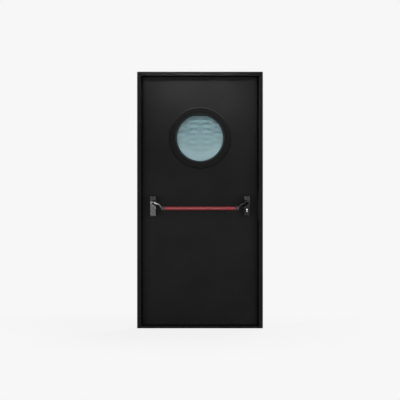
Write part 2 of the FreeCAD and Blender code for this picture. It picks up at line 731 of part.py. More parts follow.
def lower_cover():
    """The lock side cover: a thin shell, with a top edge that sweeps down towards the bar."""
    wall = CASE_WALL
    top = PIVOT_HEIGHT + HOOD_LOW_OUTER - REST_GAP
    outer_x = (CASE_X - CASE_HALF, CASE_X + CASE_HALF)
    outside = block(outer_x, (CASE_FRONT, LEAF_FRONT), (CASE_BOTTOM, top))
    rounded = edges_where(
        outside,
        lambda point: near(point.y, CASE_FRONT) and not near(point.z, top),
    )
    inside = block(
        (CASE_X - CASE_HALF + wall, CASE_X + CASE_HALF - wall),
        (CASE_FRONT + wall, LEAF_FRONT),
        (CASE_BOTTOM + wall, top),
    )
    hollow = edges_where(
        inside,
        lambda point: near(point.y, CASE_FRONT + wall) and not near(point.z, top),
    )
    shell = outside.makeFillet(COVER_ROUND, rounded)
    shell = shell.cut(inside.makeFillet(COVER_ROUND - wall, hollow))
    return shell.cut(above_cover())


def above_cover():
    """The room above the cover's top edge: a hollow sweep, then a rounded shoulder."""
    outer = case_point(CASE_HALF, REST_GAP - HOOD_LOW_OUTER)
    sweep_end = case_point(*COVER_SWEEP_END)
    inner = case_point(-CASE_HALF, COVER_INNER_DROP)
    sweep = Part.Arc(outer, case_point(*COVER_SWEEP_MIDDLE), sweep_end).toShape()
    shoulder = Part.Arc(sweep_end, case_point(*COVER_SHOULDER), inner).toShape()
    above = -CASE_ABOVE_PIVOT
    around = Part.makePolygon([
        inner,
        case_point(-CASE_WIDTH, COVER_INNER_DROP),
        case_point(-CASE_WIDTH, above),
        case_point(CASE_HALF, above),
        outer,
    ])
    wire = Part.Wire([sweep, shoulder] + around.Edges)
    return Part.Face(wire).extrude(Vector(0, CASE_DEPTH, 0))


def pivot_pin():
    """The lock side pin that carries the arm between the cheeks of its case."""
    reach = Vector(CASE_INSIDE, 0, 0)
    return rod(PIVOT_PIN_RADIUS, PIVOT - reach, PIVOT + reach)


def push_bar():
    end = Vector(BAR_END_X + BAR_SEAT, 0, 0)
    middle = Vector(0, BAR_Y, BAR_Z)
    tube = rod(BAR_RADIUS, middle - end, middle + end)
    return tube.cut(rod(BAR_RADIUS - BAR_WALL, middle - end, middle + end))


def bar_arm():
    """The lock side arm: a hub on the pin, a curved lever and a socket on the bar's end."""
    hub_half = Vector(CASE_INSIDE - CHEEK_THICK - CASE_FIT, 0, 0)
    hub = rod(HUB_RADIUS, PIVOT - hub_half, PIVOT + hub_half)
    mouth = Vector(BAR_END_X, BAR_Y, BAR_Z)
    socket_end = mouth + Vector(SOCKET_LENGTH, 0, 0)
    socket = rod(BAR_RADIUS + SOCKET_WALL, mouth, socket_end)
    rim = edges_where(socket, lambda point: near(point.x, socket_end.x))
    socket = socket.makeChamfer(SOCKET_BEVEL, rim)
    points = [PIVOT]
    for inwards, outwards, down in ARM_BENDS:
        points.append(Vector(CASE_X - inwards, LEAF_FRONT - outwards, PIVOT_HEIGHT - down))
    points.append(mouth + Vector(BAR_SEAT + SOCKET_WALL, 0, 0))
    path = bent_path(points)
    section = Part.Circle(PIVOT, points[1] - points[0], ARM_RADIUS)
    lever = path.makePipeShell([Part.Wire(section.toShape())], True, False)
    expected = math.pi * ARM_RADIUS ** 2 * path.Length
    print("arm's path", round(path.Length, 1), "mm, volume to section times length",
          round(lever.Volume / expected, 4))
    arm = lever.fuse(hub).fuse(socket)
    seat = Vector(BAR_SEAT, 0, 0)
    arm = arm.cut(rod(BAR_RADIUS + PIN_FIT, mouth, mouth + seat))
    return arm.cut(rod(PIVOT_PIN_RADIUS + PIN_FIT, PIVOT - hub_half, PIVOT + hub_half))


def save(name, shape):
    """One file per piece, in the folder of parts."""
    for solid in shape.Solids:
        if not solid.isValid():
            print("not valid:", name)
    result = shape.Solids[0] if len(shape.Solids) == 1 else Part.makeCompound(shape.Solids)
    result.exportStep(os.path.join("parts", name + ".step"))
    print(name, len(shape.Solids), round(shape.Volume / 1000.0, 1), "cm3")


def save_frame():
    save("jamb_hinge_side", jamb_hinge_side())
    save("jamb_lock_side", jamb_lock_side())
    save("head", head())
    save("threshold", threshold())
    save("seal_hinge_side", seal_hinge_side())
    save("seal_lock_side", mirrored(seal_hinge_side()))
    save("seal_head", seal_head())
    save("seal_threshold", seal_threshold())
    save("strike_plate", strike_plate())


def save_leaf():
    save("leaf_push_side", leaf_push_side())
    save("leaf_pull_side", leaf_pull_side())
    save("leaf_core", leaf_core())
    for name, face_y, outward in (("push_side", LEAF_FRONT, -1), ("pull_side", BACK, 1)):
        save("porthole_ring_" + name, porthole_ring(face_y, outward))
        save("porthole_seal_" + name, porthole_bead(face_y, outward))
    save("porthole_glass", porthole_glass())
    save("glazing_block", glazing_block())
    save("intumescent_strips", intumescent_strips())
    save("lock_faceplate", lock_faceplate())
    save("latch_bolt", latch_bolt())
    save("dead_bolt", bolt_solid(BOLTS[1]))
    save("lock_cylinder", lock_cylinder())
    save("cylinder_rosette", cylinder_rosette())


def save_hinges():
    for name, height in HINGE_HEIGHTS.items():
        save("hinge_frame_half_" + name, hinge_half(height, True))
        save("hinge_leaf_half_" + name, hinge_half(height, False))
        save("hinge_pin_" + name, hinge_pin(height))


def save_push_bar():
    save("end_case_lock_side", end_case().cut(cylinder_hole()))
    save("end_case_hinge_side", mirrored(end_case()))
    save("lower_cover_lock_side", lower_cover().cut(cylinder_hole()))
    save("lower_cover_hinge_side", mirrored(lower_cover()))
    save("pivot_pin_lock_side", pivot_pin())
    save("pivot_pin_hinge_side", mirrored(pivot_pin()))
    save("push_bar", push_bar())
    save("bar_arm_lock_side", bar_arm())
    save("bar_arm_hinge_side", mirrored(bar_arm()))


os.makedirs("parts", exist_ok=True)
save_frame()
save_leaf()
save_hinges()
save_push_bar()
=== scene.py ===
# %% [markdown]
# # A steel fire exit door with a porthole and a red push bar
#
# The door is seen straight on, from the side that people push. A black frame holds a black leaf,
# the leaf holds a round pane of thick fire glass, and a red tube runs across it on two curved arms.
# The construction comes as a fixed frame of solids. This lesson gives every solid its finish,
# adds the small parts that make a door believable up close, and sets up the studio.

# %% Start
import math

import bpy
import bmesh
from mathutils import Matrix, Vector


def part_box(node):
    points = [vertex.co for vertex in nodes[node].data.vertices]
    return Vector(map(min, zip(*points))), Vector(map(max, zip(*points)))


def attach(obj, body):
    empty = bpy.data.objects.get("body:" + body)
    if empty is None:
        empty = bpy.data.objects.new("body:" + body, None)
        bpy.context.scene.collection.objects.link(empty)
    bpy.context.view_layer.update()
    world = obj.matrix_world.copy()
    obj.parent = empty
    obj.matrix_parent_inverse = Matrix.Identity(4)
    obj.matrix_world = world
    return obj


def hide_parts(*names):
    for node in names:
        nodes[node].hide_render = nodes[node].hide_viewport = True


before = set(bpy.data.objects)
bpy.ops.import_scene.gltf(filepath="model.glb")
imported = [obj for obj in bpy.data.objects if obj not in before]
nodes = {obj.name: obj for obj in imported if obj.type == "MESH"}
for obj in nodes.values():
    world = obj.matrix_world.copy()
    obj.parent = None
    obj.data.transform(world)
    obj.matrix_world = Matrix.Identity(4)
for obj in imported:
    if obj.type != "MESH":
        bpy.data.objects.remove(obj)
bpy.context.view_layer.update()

# %% [markdown]
# ## The camera
#
# The photograph has no visible perspective: both jambs look equally wide and no inner side of the
# frame shows. A long lens from far away gets close to that. The width of the view at the frame's
# face sets the lens. The Standard view shows colours as they are.

# %% Camera
MM = 0.001
VIEW_WIDTH = 3.180  # metres across the picture at the frame's face
CAMERA_DISTANCE = 12.0
SENSOR_WIDTH = 36.0

frame_low, frame_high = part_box("jamb_hinge_side")
FRAME_FACE_Y = frame_low.y
DOOR_HEIGHT = frame_high.z
DOOR_WIDTH = -2 * frame_low.x


def add_object(name, data):
    """A new object in the scene."""
    made = bpy.data.objects.new(name, data)
    bpy.context.scene.collection.objects.link(made)
    return made


camera_data = bpy.data.cameras.new("camera")
camera_data.sensor_width = SENSOR_WIDTH
camera_data.lens = SENSOR_WIDTH * CAMERA_DISTANCE / VIEW_WIDTH
camera_data.clip_end = 200.0
camera = add_object("camera", camera_data)
camera.location = (0.0, FRAME_FACE_Y - CAMERA_DISTANCE, DOOR_HEIGHT / 2)
camera.rotation_euler = (math.radians(90), 0.0, 0.0)
bpy.context.scene.camera = camera
bpy.context.scene.view_settings.view_transform = "Standard"
print("lens:", round(camera_data.lens, 1), "mm")

# %% [markdown]
# ## Colours and nodes
#
# Colours are easiest to judge as the 0 to 255 values of a picture, and shaders work in linear
# light, so a small function turns one into the other. The others add nodes and fill their inputs
# in one call, which keeps every recipe short.

# %% Helpers for node trees
def linear(value):
    """One 0 to 255 picture value as linear light."""
    share = value / 255
    if share <= 0.04045:
        return share / 12.92
    return ((share + 0.055) / 1.055) ** 2.4


def colour(red, green, blue):
    """A picture colour as the four numbers of a shader socket."""
    return (linear(red), linear(green), linear(blue), 1.0)


def grey(value):
    return colour(value, value, value)


def add_node(tree, kind, inputs=None, **settings):
    """A new node with its settings. Each input gets a plain value, or a link from a socket."""
    made = tree.nodes.new(kind)
    for name, value in settings.items():
        setattr(made, name, value)
    for name, value in (inputs or {}).items():
        if isinstance(value, bpy.types.NodeSocket):
            tree.links.new(value, made.inputs[name])
        else:
            made.inputs[name].default_value = value
    return made


def calculate(tree, operation, *values, clamp=False):
    """One step of arithmetic, as a socket."""
    step = add_node(tree, "ShaderNodeMath", dict(enumerate(values)), operation=operation, use_clamp=clamp)
    return step.outputs[0]


def product(tree, first, *others):
    """Several values multiplied together."""
    for other in others:
        first = calculate(tree, "MULTIPLY", first, other)
    return first


def distance_from(tree, value, middle):
    """How far a value is from another one, never negative."""
    return calculate(tree, "ABSOLUTE", calculate(tree, "SUBTRACT", value, middle))


def remap(tree, value, low, high, new_low, new_high):
    """A value stretched from one range to another, and kept inside it."""
    step = add_node(tree, "ShaderNodeMapRange", {
        "Value": value, "From Min": low, "From Max": high, "To Min": new_low, "To Max": new_high,
    })
    return step.outputs["Result"]


def magnitude(tree, vector):
    """The length of a vector, as a socket."""
    return add_node(tree, "ShaderNodeVectorMath", {0: vector}, operation="LENGTH").outputs["Value"]


def blend_colours(tree, share, first, second):
    """A colour between two others."""
    step = add_node(tree, "ShaderNodeMix", {0: share, 6: first, 7: second}, data_type="RGBA")
    return step.outputs[2]


# %% [markdown]
# ## The studio
#
# The picture's background is an even pale grey. The camera, reflections and glass see that grey
# all round, while soft light reaches the door at a plain level. Near the door the floor is partly
# lit and keeps a faint shadow, and further out it fades into the same grey.

# %% World
BACKGROUND = grey(247)
SKY_LIGHT = 0.12  # strength of the soft light from all sides

world = bpy.data.worlds.new("studio")
bpy.context.scene.world = world
world.use_nodes = True
tree = world.node_tree
tree.nodes.clear()


def seen_directly(tree):
    """1 for the camera, for reflections and through glass, and 0 for soft light."""
    path = add_node(tree, "ShaderNodeLightPath")
    seen = calculate(tree, "MAXIMUM", path.outputs["Is Camera Ray"], path.outputs["Is Glossy Ray"])
    return calculate(tree, "MAXIMUM", seen, path.outputs["Is Transmission Ray"])


soft = add_node(tree, "ShaderNodeBackground", {"Color": (1, 1, 1, 1), "Strength": SKY_LIGHT})
plain = add_node(tree, "ShaderNodeBackground", {"Color": BACKGROUND, "Strength": 1.0})
either = add_node(tree, "ShaderNodeMixShader", {
    0: seen_directly(tree), 1: soft.outputs[0], 2: plain.outputs[0],
})
add_node(tree, "ShaderNodeOutputWorld", {"Surface": either.outputs[0]})

# %% Floor
FLOOR_SIZE = 60.0
FLOOR_LIT_RADIUS = 0.9  # inside it the floor shows some real light and shadow
FLOOR_EVEN_RADIUS = 2.2  # outside it the floor has the background's colour
FLOOR_EVEN_SHARE = 0.90  # how much of the even colour the floor keeps near the door

floor_material = bpy.data.materials.new("studio_floor")
floor_material.use_nodes = True
tree = floor_material.node_tree
tree.nodes.clear()
place = add_node(tree, "ShaderNodeTexCoord").outputs["Object"]
far = remap(tree, magnitude(tree, place), FLOOR_LIT_RADIUS, FLOOR_EVEN_RADIUS, FLOOR_EVEN_SHARE, 1.0)
even = calculate(tree, "MULTIPLY", far, seen_directly(tree))
lit = add_node(tree, "ShaderNodeBsdfDiffuse", {"Color": grey(250)})
flat = add_node(tree, "ShaderNodeEmission", {"Color": BACKGROUND, "Strength": 1.0})
floor_mix = add_node(tree, "ShaderNodeMixShader", {0: even, 1: lit.outputs[0], 2: flat.outputs[0]})
add_node(tree, "ShaderNodeOutputMaterial", {"Surface": floor_mix.outputs[0]})

floor_mesh = bpy.data.meshes.new("studio_floor")
half = FLOOR_SIZE / 2
corners = [(-half, -half, 0), (half, -half, 0), (half, half, 0), (-half, half, 0)]
floor_mesh.from_pydata(corners, [], [(0, 1, 2, 3)])
floor_mesh.materials.append(floor_material)
floor = add_object("studio_floor", floor_mesh)

# %% [markdown]
# Large lamps add shape to the even light. Two stand far out to the sides: the frame keeps each of
# them off the nearest edge of the leaf, which draws the soft dark border inside the frame. The key
# hangs high and close in front, a little to the left, so the top of the leaf is lighter than the
# foot. The bar lamp stands far in front, a little below the bar. It only shows in reflections, and
# draws a line of light along the tube. One more lamp hangs above, and one lights the back.

# %% Lamps
def area_lamp(name, place, target, size, power, spread=180):
    """A soft lamp that looks at a point, with a power in watts and a spread in degrees."""
    data = bpy.data.lights.new(name, "AREA")
    data.shape = "RECTANGLE"
    data.size = size[0]
    data.size_y = size[1]
    data.energy = power
    data.spread = math.radians(spread)
    lamp = add_object(name, data)
    lamp.location = place
    aim = Vector(target) - Vector(place)
    lamp.rotation_euler = aim.to_track_quat("-Z", "Y").to_euler()
    lamp.visible_camera = False
    return lamp


for side in (-1, 1):
    area_lamp("side_lamp", (side * 2.9, -1.8, 1.15), (0, 0, 1.1), (1.9, 2.0), 56)
area_lamp("key_lamp", (-0.08, -0.7, 2.75), (0, 0, 1.86), (0.8, 0.10), 2.0, spread=27)
bar_lamp = area_lamp("bar_lamp", (-0.2, -4.5, 0.88), (0, 0, 0.88), (2.4, 0.4), 48)
bar_lamp.visible_diffuse = False
area_lamp("top_lamp", (0.0, 0.2, 4.5), (0, 0, 0), (3.0, 3.0), 26)
area_lamp("rear_lamp", (1.4, 3.6, 2.8), (0, 0, 1.0), (1.8, 1.4), 125)

# %% [markdown]
# ## Finishes
#
# A finish is a colour, a gloss and a small relief. Powder coat has a fine even grain like orange
# peel, and its gloss wanders a little because the powder never lies evenly. All the door's finishes
# are built from that idea: one function sets the even numbers on the shader itself and adds a wide
# noise for the colour and a fine one for gloss and relief. Others lay a second colour over a part.

# %% A finish with grain
RELIEF_STRENGTH = 0.6


def new_finish(name, roughness, metallic=0.0, specular=0.5):
    """A Principled material whose even numbers sit on the shader's own sockets."""
    material = bpy.data.materials.new(name)
    material.use_nodes = True
    shader = material.node_tree.nodes["Principled BSDF"]
    shader.inputs["Roughness"].default_value = roughness
    shader.inputs["Metallic"].default_value = metallic
    shader.inputs["Specular IOR Level"].default_value = specular
    return material, material.node_tree, shader


def object_place(tree, stretch=(1, 1, 1), shift=(0, 0, 0)):
    """Places on the piece in metres, stretched along each axis and then shifted."""
    return add_node(tree, "ShaderNodeMapping", {
        "Vector": add_node(tree, "ShaderNodeTexCoord").outputs["Object"],
        "Scale": stretch, "Location": shift,
    }).outputs["Vector"]


def own_axes(tree):
    """How far a place on the piece is from the door's middle, its Y and its Z, as sockets."""
    axes = add_node(tree, "ShaderNodeSeparateXYZ", {"Vector": object_place(tree)}).outputs
    return calculate(tree, "ABSOLUTE", axes["X"]), axes["Y"], axes["Z"]


def noise(tree, place, size, detail=2.0):
    """Soft random blotches of about the given size in metres."""
    return add_node(tree, "ShaderNodeTexNoise", {
        "Vector": place, "Scale": 1 / size, "Detail": detail,
    }).outputs["Fac"]


def grained(name, dark, light, roughness, grain, relief, metallic=0.0, specular=0.5,
            blotch=0.25, gloss_change=0.08, stretch=(1, 1, 1)):
    """A finish with blotches in metres, and a fine grain and relief in millimetres."""
    material, tree, shader = new_finish(name, roughness, metallic, specular)
    wide = noise(tree, object_place(tree), blotch)
    colour_share = remap(tree, wide, 0.35, 0.65, 0.0, 1.0)
    shader.inputs["Base Color"].default_value = dark
    tree.links.new(blend_colours(tree, colour_share, dark, light), shader.inputs["Base Color"])
    fine = noise(tree, object_place(tree, stretch), grain * MM, detail=3.0)
    gloss = remap(tree, fine, 0.3, 0.7, roughness - gloss_change, roughness + gloss_change)
    tree.links.new(gloss, shader.inputs["Roughness"])
    bump = add_node(tree, "ShaderNodeBump", {
        "Strength": RELIEF_STRENGTH, "Distance": relief * MM, "Height": fine,
    })
    tree.links.new(bump.outputs["Normal"], shader.inputs["Normal"])
    return material


def tint(material, share, added):
    """Lays another colour over a finish, as strongly as the share says."""
    tree = material.node_tree
    base = tree.nodes["Principled BSDF"].inputs["Base Color"]
    tree.links.new(blend_colours(tree, share, base.links[0].from_socket, added), base)


def paint(material, *names):
    """Gives a finish to nodes of the solid model."""
    for name in names:
        for slot in nodes[name].material_slots:
            slot.material = material


# %% [markdown]
# ### Black powder coat
#
# The photograph's black is matte: it mirrors very little, so the shader's specular level is low.
# The leaf's coat is the finest and the frame's a little coarser, with a seam at each upper corner.
# The pressed rings are darker, with a painted highlight along their upper rim, and the sill is scuffed by
# shoes.

# %% Black finishes
MITRE_LINE = DOOR_WIDTH / 2 - DOOR_HEIGHT  # x and z on the head's mitre differ by this
MITRE_HALF = 0.5 * MM
ring_low, ring_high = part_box("porthole_ring_push_side")
PORTHOLE_CENTRE = (ring_low + ring_high) / 2
RING_RADIUS = (ring_high.x - ring_low.x) / 2
RIM_HIGHLIGHT_WIDTH = 2 * MM  # of the paler line round the rings


def add_mitre_seam(material):
    """A fine dark line along the 45 degree joint of head and jamb."""
    tree = material.node_tree
    side, _, height = own_axes(tree)
    off_line = distance_from(tree, calculate(tree, "SUBTRACT", side, height), MITRE_LINE)
    tint(material, remap(tree, off_line, MITRE_HALF, 2.4 * MITRE_HALF, 1.0, 0.0), grey(4))


def add_painted_rim_highlight(material, rim_highlight_colour):
    """A paler line round the upper rim of the porthole rings: a painted highlight, where light from above
    catches the rim.
    """
    tree = material.node_tree
    place = object_place(tree, (1, 0, 1), (0, 0, -PORTHOLE_CENTRE.z))
    above = add_node(tree, "ShaderNodeSeparateXYZ", {"Vector": place}).outputs["Z"]
    line_from = RING_RADIUS - 2 * RIM_HIGHLIGHT_WIDTH
    rim = remap(tree, magnitude(tree, place), line_from, line_from + RIM_HIGHLIGHT_WIDTH, 0.0, 1.0)
    upper = remap(tree, above, 0.25 * RING_RADIUS, 0.95 * RING_RADIUS, 0.0, 1.0)
    tint(material, product(tree, rim, upper), rim_highlight_colour)


def add_scuffs(material, scuff_colour, length, width, amount):
    """Short pale scratches along X, where shoes rub a sill."""
    tree = material.node_tree
    scratches = noise(tree, object_place(tree, (1 / length, 1 / width, 1 / width)), 1.0, detail=4.0)
    tint(material, remap(tree, scratches, 0.60, 0.78, 0.0, amount), scuff_colour)


POWDER = {"specular": 0.02, "gloss_change": 0.05}
leaf_coat = grained("leaf_powder_coat", grey(29), grey(32), 0.38, grain=1.4, relief=0.04, **POWDER)
frame_coat = grained("frame_powder_coat", grey(27), grey(30), 0.38, grain=1.8, relief=0.05, **POWDER)
ring_coat = grained(
    "ring_powder_coat", grey(19), grey(21), 0.34, grain=2.5, relief=0.03, specular=0.03,
    gloss_change=0.04,
)
threshold_coat = grained(
    "threshold_powder_coat", grey(26), grey(31), 0.42, grain=1.8, relief=0.05, specular=0.02,
    blotch=0.05,
)
add_mitre_seam(frame_coat)
# The rings' upper rim gets a painted highlight.
add_painted_rim_highlight(ring_coat, grey(58))
add_scuffs(threshold_coat, grey(62), length=60 * MM, width=3 * MM, amount=0.5)
hinge_coat = grained("hinge_paint", grey(20), grey(25), 0.38, grain=1.2, relief=0.03, specular=0.15)
paint(leaf_coat, "leaf_push_side", "leaf_pull_side")
paint(frame_coat, "jamb_hinge_side", "jamb_lock_side", "head")
paint(ring_coat, "porthole_ring_push_side", "porthole_ring_pull_side")
paint(threshold_coat, "threshold")
HINGES = ("lower", "middle", "upper")
for where in HINGES:
    paint(hinge_coat, "hinge_frame_half_" + where, "hinge_leaf_half_" + where)

# %% [markdown]
# ### Rubber, plastic and mineral wool
#
# Rubber is almost without gloss. The strips in the leaf's edges are graphite plastic with a
# lighter line along the middle, where the layer that swells in a fire shows. The wool core shows
# only inside the lock's pockets, and is fibrous.

# %% Rubber, strips and core
rubber = grained("black_rubber", grey(9), grey(14), 0.75, grain=0.6, relief=0.05, specular=0.1)
glazing_rubber = grained(
    "glazing_rubber", colour(9, 20, 22), colour(14, 28, 31), 0.6, grain=0.6, relief=0.03, specular=0.25,
)
core_wool = grained(
    "mineral_wool", colour(120, 104, 66), colour(150, 134, 92), 0.95, grain=1.5, relief=0.6,
    specular=0.1, blotch=0.01, stretch=(1, 1, 4),
)
strip_plastic = grained(
    "strip_plastic", grey(38), grey(52), 0.6, grain=1.0, relief=0.05, specular=0.25, blotch=0.08,
)
strip_low, strip_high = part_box("intumescent_strips")
STRIP_MIDDLE_Y = (strip_low.y + strip_high.y) / 2
STRIP_LINE_HALF = 1.3 * MM
tree = strip_plastic.node_tree
off_middle = distance_from(tree, own_axes(tree)[1], STRIP_MIDDLE_Y)
line_share = remap(tree, off_middle, STRIP_LINE_HALF, 1.3 * STRIP_LINE_HALF, 0.8, 0.0)
tint(strip_plastic, line_share, grey(96))
paint(rubber, "seal_hinge_side", "seal_lock_side", "seal_head", "seal_threshold")
paint(glazing_rubber, "porthole_seal_push_side", "porthole_seal_pull_side", "glazing_block")
paint(core_wool, "leaf_core")
paint(strip_plastic, "intumescent_strips")

# %% [markdown]
# ### The hardware
#
# The end cases are painted castings, and the covers below them are moulded plastic. The two covers
# are lit and shaded copies of one plastic: the hinge side's is painted light grey and the lock
# side's nearly black, standing in for light from the left, and so are the raised edges along their
# tops. The hollow where the lock side's arm turns gets near-black painted shade. The arms are cast,
# and their colour changes from the socket to the hub as painted highlight on the hinge side and
# painted shade on the lock side; each hub's top has its own painted highlight or shade. The lock's
# bolts are phosphated dark, so that nothing bright shows in the gap, and turned parts such as pins
# keep fine lines from the tool.

# %% Cases, arms, bar and small metal
CASE_MIDDLE = 373.5 * MM  # from the door's middle
CASE_HALF_WIDTH = 22.5 * MM
HOLLOW_BEHIND = -52.5 * MM  # Y of the hollow's mouth, just behind the hood's front
HOLLOW_TOP = 1.026  # height in metres
CASE_SPECULAR = 0.2


def case_coat(name, hollow_shade_colour, hollow_specular):
    """Grey paint on an end case, with painted shade in the hollow where the arm turns."""
    material = grained(
        name, grey(37), grey(44), 0.42, grain=0.9, relief=0.05, blotch=0.03, specular=CASE_SPECULAR,
    )
    tree = material.node_tree
    side, depth, height = own_axes(tree)
    off_middle = distance_from(tree, side, CASE_MIDDLE)
    within = remap(tree, off_middle, CASE_HALF_WIDTH - 0.8 * MM, CASE_HALF_WIDTH - 0.4 * MM, 1.0, 0.0)
    behind = remap(tree, depth, HOLLOW_BEHIND, HOLLOW_BEHIND + MM, 0.0, 1.0)
    below = remap(tree, height, HOLLOW_TOP, HOLLOW_TOP + 4 * MM, 1.0, 0.0)
    hollow = product(tree, within, behind, below)
    # Painted shade in the hollow behind the arm.
    tint(material, hollow, hollow_shade_colour)
    sheen = remap(tree, hollow, 0.0, 1.0, CASE_SPECULAR, hollow_specular)
    tree.links.new(sheen, tree.nodes["Principled BSDF"].inputs["Specular IOR Level"])
    return material


case_paint = case_coat("case_paint", grey(40), CASE_SPECULAR)
# On the lock side the hollow gets a near-black painted shade.
case_paint_shaded_hollow = case_coat("case_paint_painted_shade_hollow", grey(8), 0.03)
MOULDED = {"grain": 1.1, "relief": 0.03, "blotch": 0.04}
# The two covers are lit and shaded copies of one plastic: painted lighter on the hinge side and darker on
# the lock side, standing in for light from the left.
cover_lit_copy = grained("cover_plastic_painted_highlight", grey(71), grey(79), 0.38, specular=0.3, **MOULDED)
cover_shaded_copy = grained("cover_plastic_painted_shade", grey(17), grey(21), 0.38, specular=0.1, **MOULDED)
HUB_FROM = 352 * MM  # from the door's middle: here an arm's lever meets its hub
LIGHT_FADE_FROM = 326 * MM  # where the lever's colour starts to change
DARK_FADE_FROM = 344 * MM
HUB_TOP_ABOVE = 1.003  # height in metres


def arm_lacquer(name, at_socket, at_hub, hub_top_painted_light, fade_from, metallic, specular):
    """Lacquer with painted light: one colour at the socket, another at the hub and a third on the hub's
    top, standing in for highlight and shade.
    """
    material = grained(
        name, at_socket, at_hub, 0.32, grain=1.6, relief=0.04, metallic=metallic,
        specular=specular, blotch=0.02,
    )
    tree = material.node_tree
    side, _, height = own_axes(tree)
    # The change of colour along the lever is painted highlight or shade.
    lever = remap(tree, side, fade_from, HUB_FROM, 0.0, 1.0)
    along = remap(tree, side, HUB_FROM, HUB_FROM + 3 * MM, 0.0, 1.0)
    above = remap(tree, height, HUB_TOP_ABOVE, HUB_TOP_ABOVE + 4 * MM, 0.0, 1.0)
    lacquer_and_painted_light = blend_colours(tree, lever, at_socket, at_hub)
    tree.links.new(lacquer_and_painted_light, tree.nodes["Principled BSDF"].inputs["Base Color"])
    tint(material, product(tree, along, above), hub_top_painted_light)
    return material


# The two arms are lit and shaded copies of one lacquer: painted highlight towards the hub on the hinge
# side, painted shade towards the hub on the lock side. The hinge side's hub top is painted darker, the
# lock side's lighter.
arm_lit_copy = arm_lacquer(
    "arm_lacquer_painted_highlight", grey(84), grey(178), grey(30), LIGHT_FADE_FROM, metallic=0.7, specular=0.5,
)
arm_shaded_copy = arm_lacquer(
    "arm_lacquer_painted_shade", grey(36), grey(18), grey(64), DARK_FADE_FROM, metallic=0.5, specular=0.3,
)
sleeve_plastic = grained(
    "sleeve_plastic", colour(66, 54, 53), colour(76, 62, 61), 0.42, grain=1.0, relief=0.03,
    specular=0.3, blotch=0.02,
)
FINE_GRAIN = {"grain": 0.8, "relief": 0.02, "blotch": 0.02}
# The covers' raised edges are lit and shaded copies of one metal: painted highlight on the hinge side,
# painted shade on the lock side.
rim_lit_copy = grained("rim_metal_painted_highlight", grey(142), grey(156), 0.38, metallic=0.6, **FINE_GRAIN)
rim_shaded_copy = grained("rim_metal_painted_shade", grey(38), grey(46), 0.38, metallic=0.4, **FINE_GRAIN)
collar_black = grained("collar_black", grey(9), grey(12), 0.4, specular=0.15, **FINE_GRAIN)
dark_steel = grained(
    "blackened_steel", grey(20), grey(30), 0.42, grain=0.8, relief=0.02, specular=0.2, blotch=0.03,
    stretch=(1, 1, 8),
)
red_lacquer = grained(
    "red_lacquer", colour(136, 25, 31), colour(144, 28, 35), 0.22, grain=4.0, relief=0.01, blotch=0.15,
    gloss_change=0.01,
)
TURNED = {"grain": 0.5, "relief": 0.01, "blotch": 0.02}
bright_steel = grained(
    "zinc_plated_steel", grey(165), grey(190), 0.32, metallic=1.0, stretch=(1, 1, 12), **TURNED,
)
bolt_steel = grained(
    "phosphated_steel", grey(30), grey(36), 0.5, metallic=0.3, specular=0.2, stretch=(12, 1, 1), **TURNED,
)
nickel = grained(
    "satin_nickel", grey(122), grey(138), 0.3, grain=0.4, relief=0.006, metallic=1.0, blotch=0.01,
    stretch=(1, 10, 1),
)
paint(case_paint, "end_case_hinge_side", "cylinder_rosette")
paint(case_paint_shaded_hollow, "end_case_lock_side")
paint(cover_lit_copy, "lower_cover_hinge_side")
paint(cover_shaded_copy, "lower_cover_lock_side")
paint(arm_lit_copy, "bar_arm_hinge_side")
paint(arm_shaded_copy, "bar_arm_lock_side")
paint(red_lacquer, "push_bar")
paint(nickel, "lock_cylinder")
paint(dark_steel, "strike_plate")
paint(bolt_steel, "latch_bolt", "dead_bolt")
paint(bright_steel, "lock_faceplate", "pivot_pin_lock_side", "pivot_pin_hinge_side")
paint(bright_steel, *("hinge_pin_" + where for where in HINGES))

# %% [markdown]
# ### Fire glass
#
# Fire glass is several panes with clear layers between them that foam up in a fire. It is thick,
# slightly milky and teal. Soft bands run across it in two columns, a painted reflection: an even
# wave and a noise, mirrored about the pane's middle and bent a little upwards. They fade towards
# the foot of the pane, which is painted paler, and its lower edge gets the palest painted glow.
# Here lengths are shares of the pane's radius.

# %% Glass
pane_low, pane_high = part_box("porthole_glass")
PANE_RADIUS = (pane_high.x - pane_low.x) / 2

GLASS_DEEP = colour(78, 111, 117)
GLASS_PALE = colour(159, 191, 195)
GLASS_TRANSMISSION = 0.55
BAND_BEND = 0.05
BAND_PITCH = 42 * MM  # of the even wave, in metres
BAND_PEAK = 0.25  # how far from the middle a band is brightest
BANDS_ACROSS, BANDS_UP = 2.6, 5.0  # noise cells per radius
COLUMN_SWING, COLUMN_MEAN = 0.14, 0.20  # strength of the wave across the pane
BANDS_FROM, BANDS_TO = -0.55, 0.15  # heights between which the bands grow strong

fire_glass, tree, shader = new_finish("fire_glass", roughness=0.06)
shader.inputs["IOR"].default_value = 1.52
shader.inputs["Transmission Weight"].default_value = GLASS_TRANSMISSION
centred = object_place(tree, [1 / PANE_RADIUS] * 3, (0, 0, -PORTHOLE_CENTRE.z / PANE_RADIUS))
axes = add_node(tree, "ShaderNodeSeparateXYZ", {"Vector": centred}).outputs
side = calculate(tree, "ABSOLUTE", axes["X"])
height = calculate(tree, "ADD", axes["Z"], product(tree, side, side, BAND_BEND))
band_place = add_node(tree, "ShaderNodeCombineXYZ", {
    "X": product(tree, side, BANDS_ACROSS), "Z": product(tree, height, BANDS_UP),
})
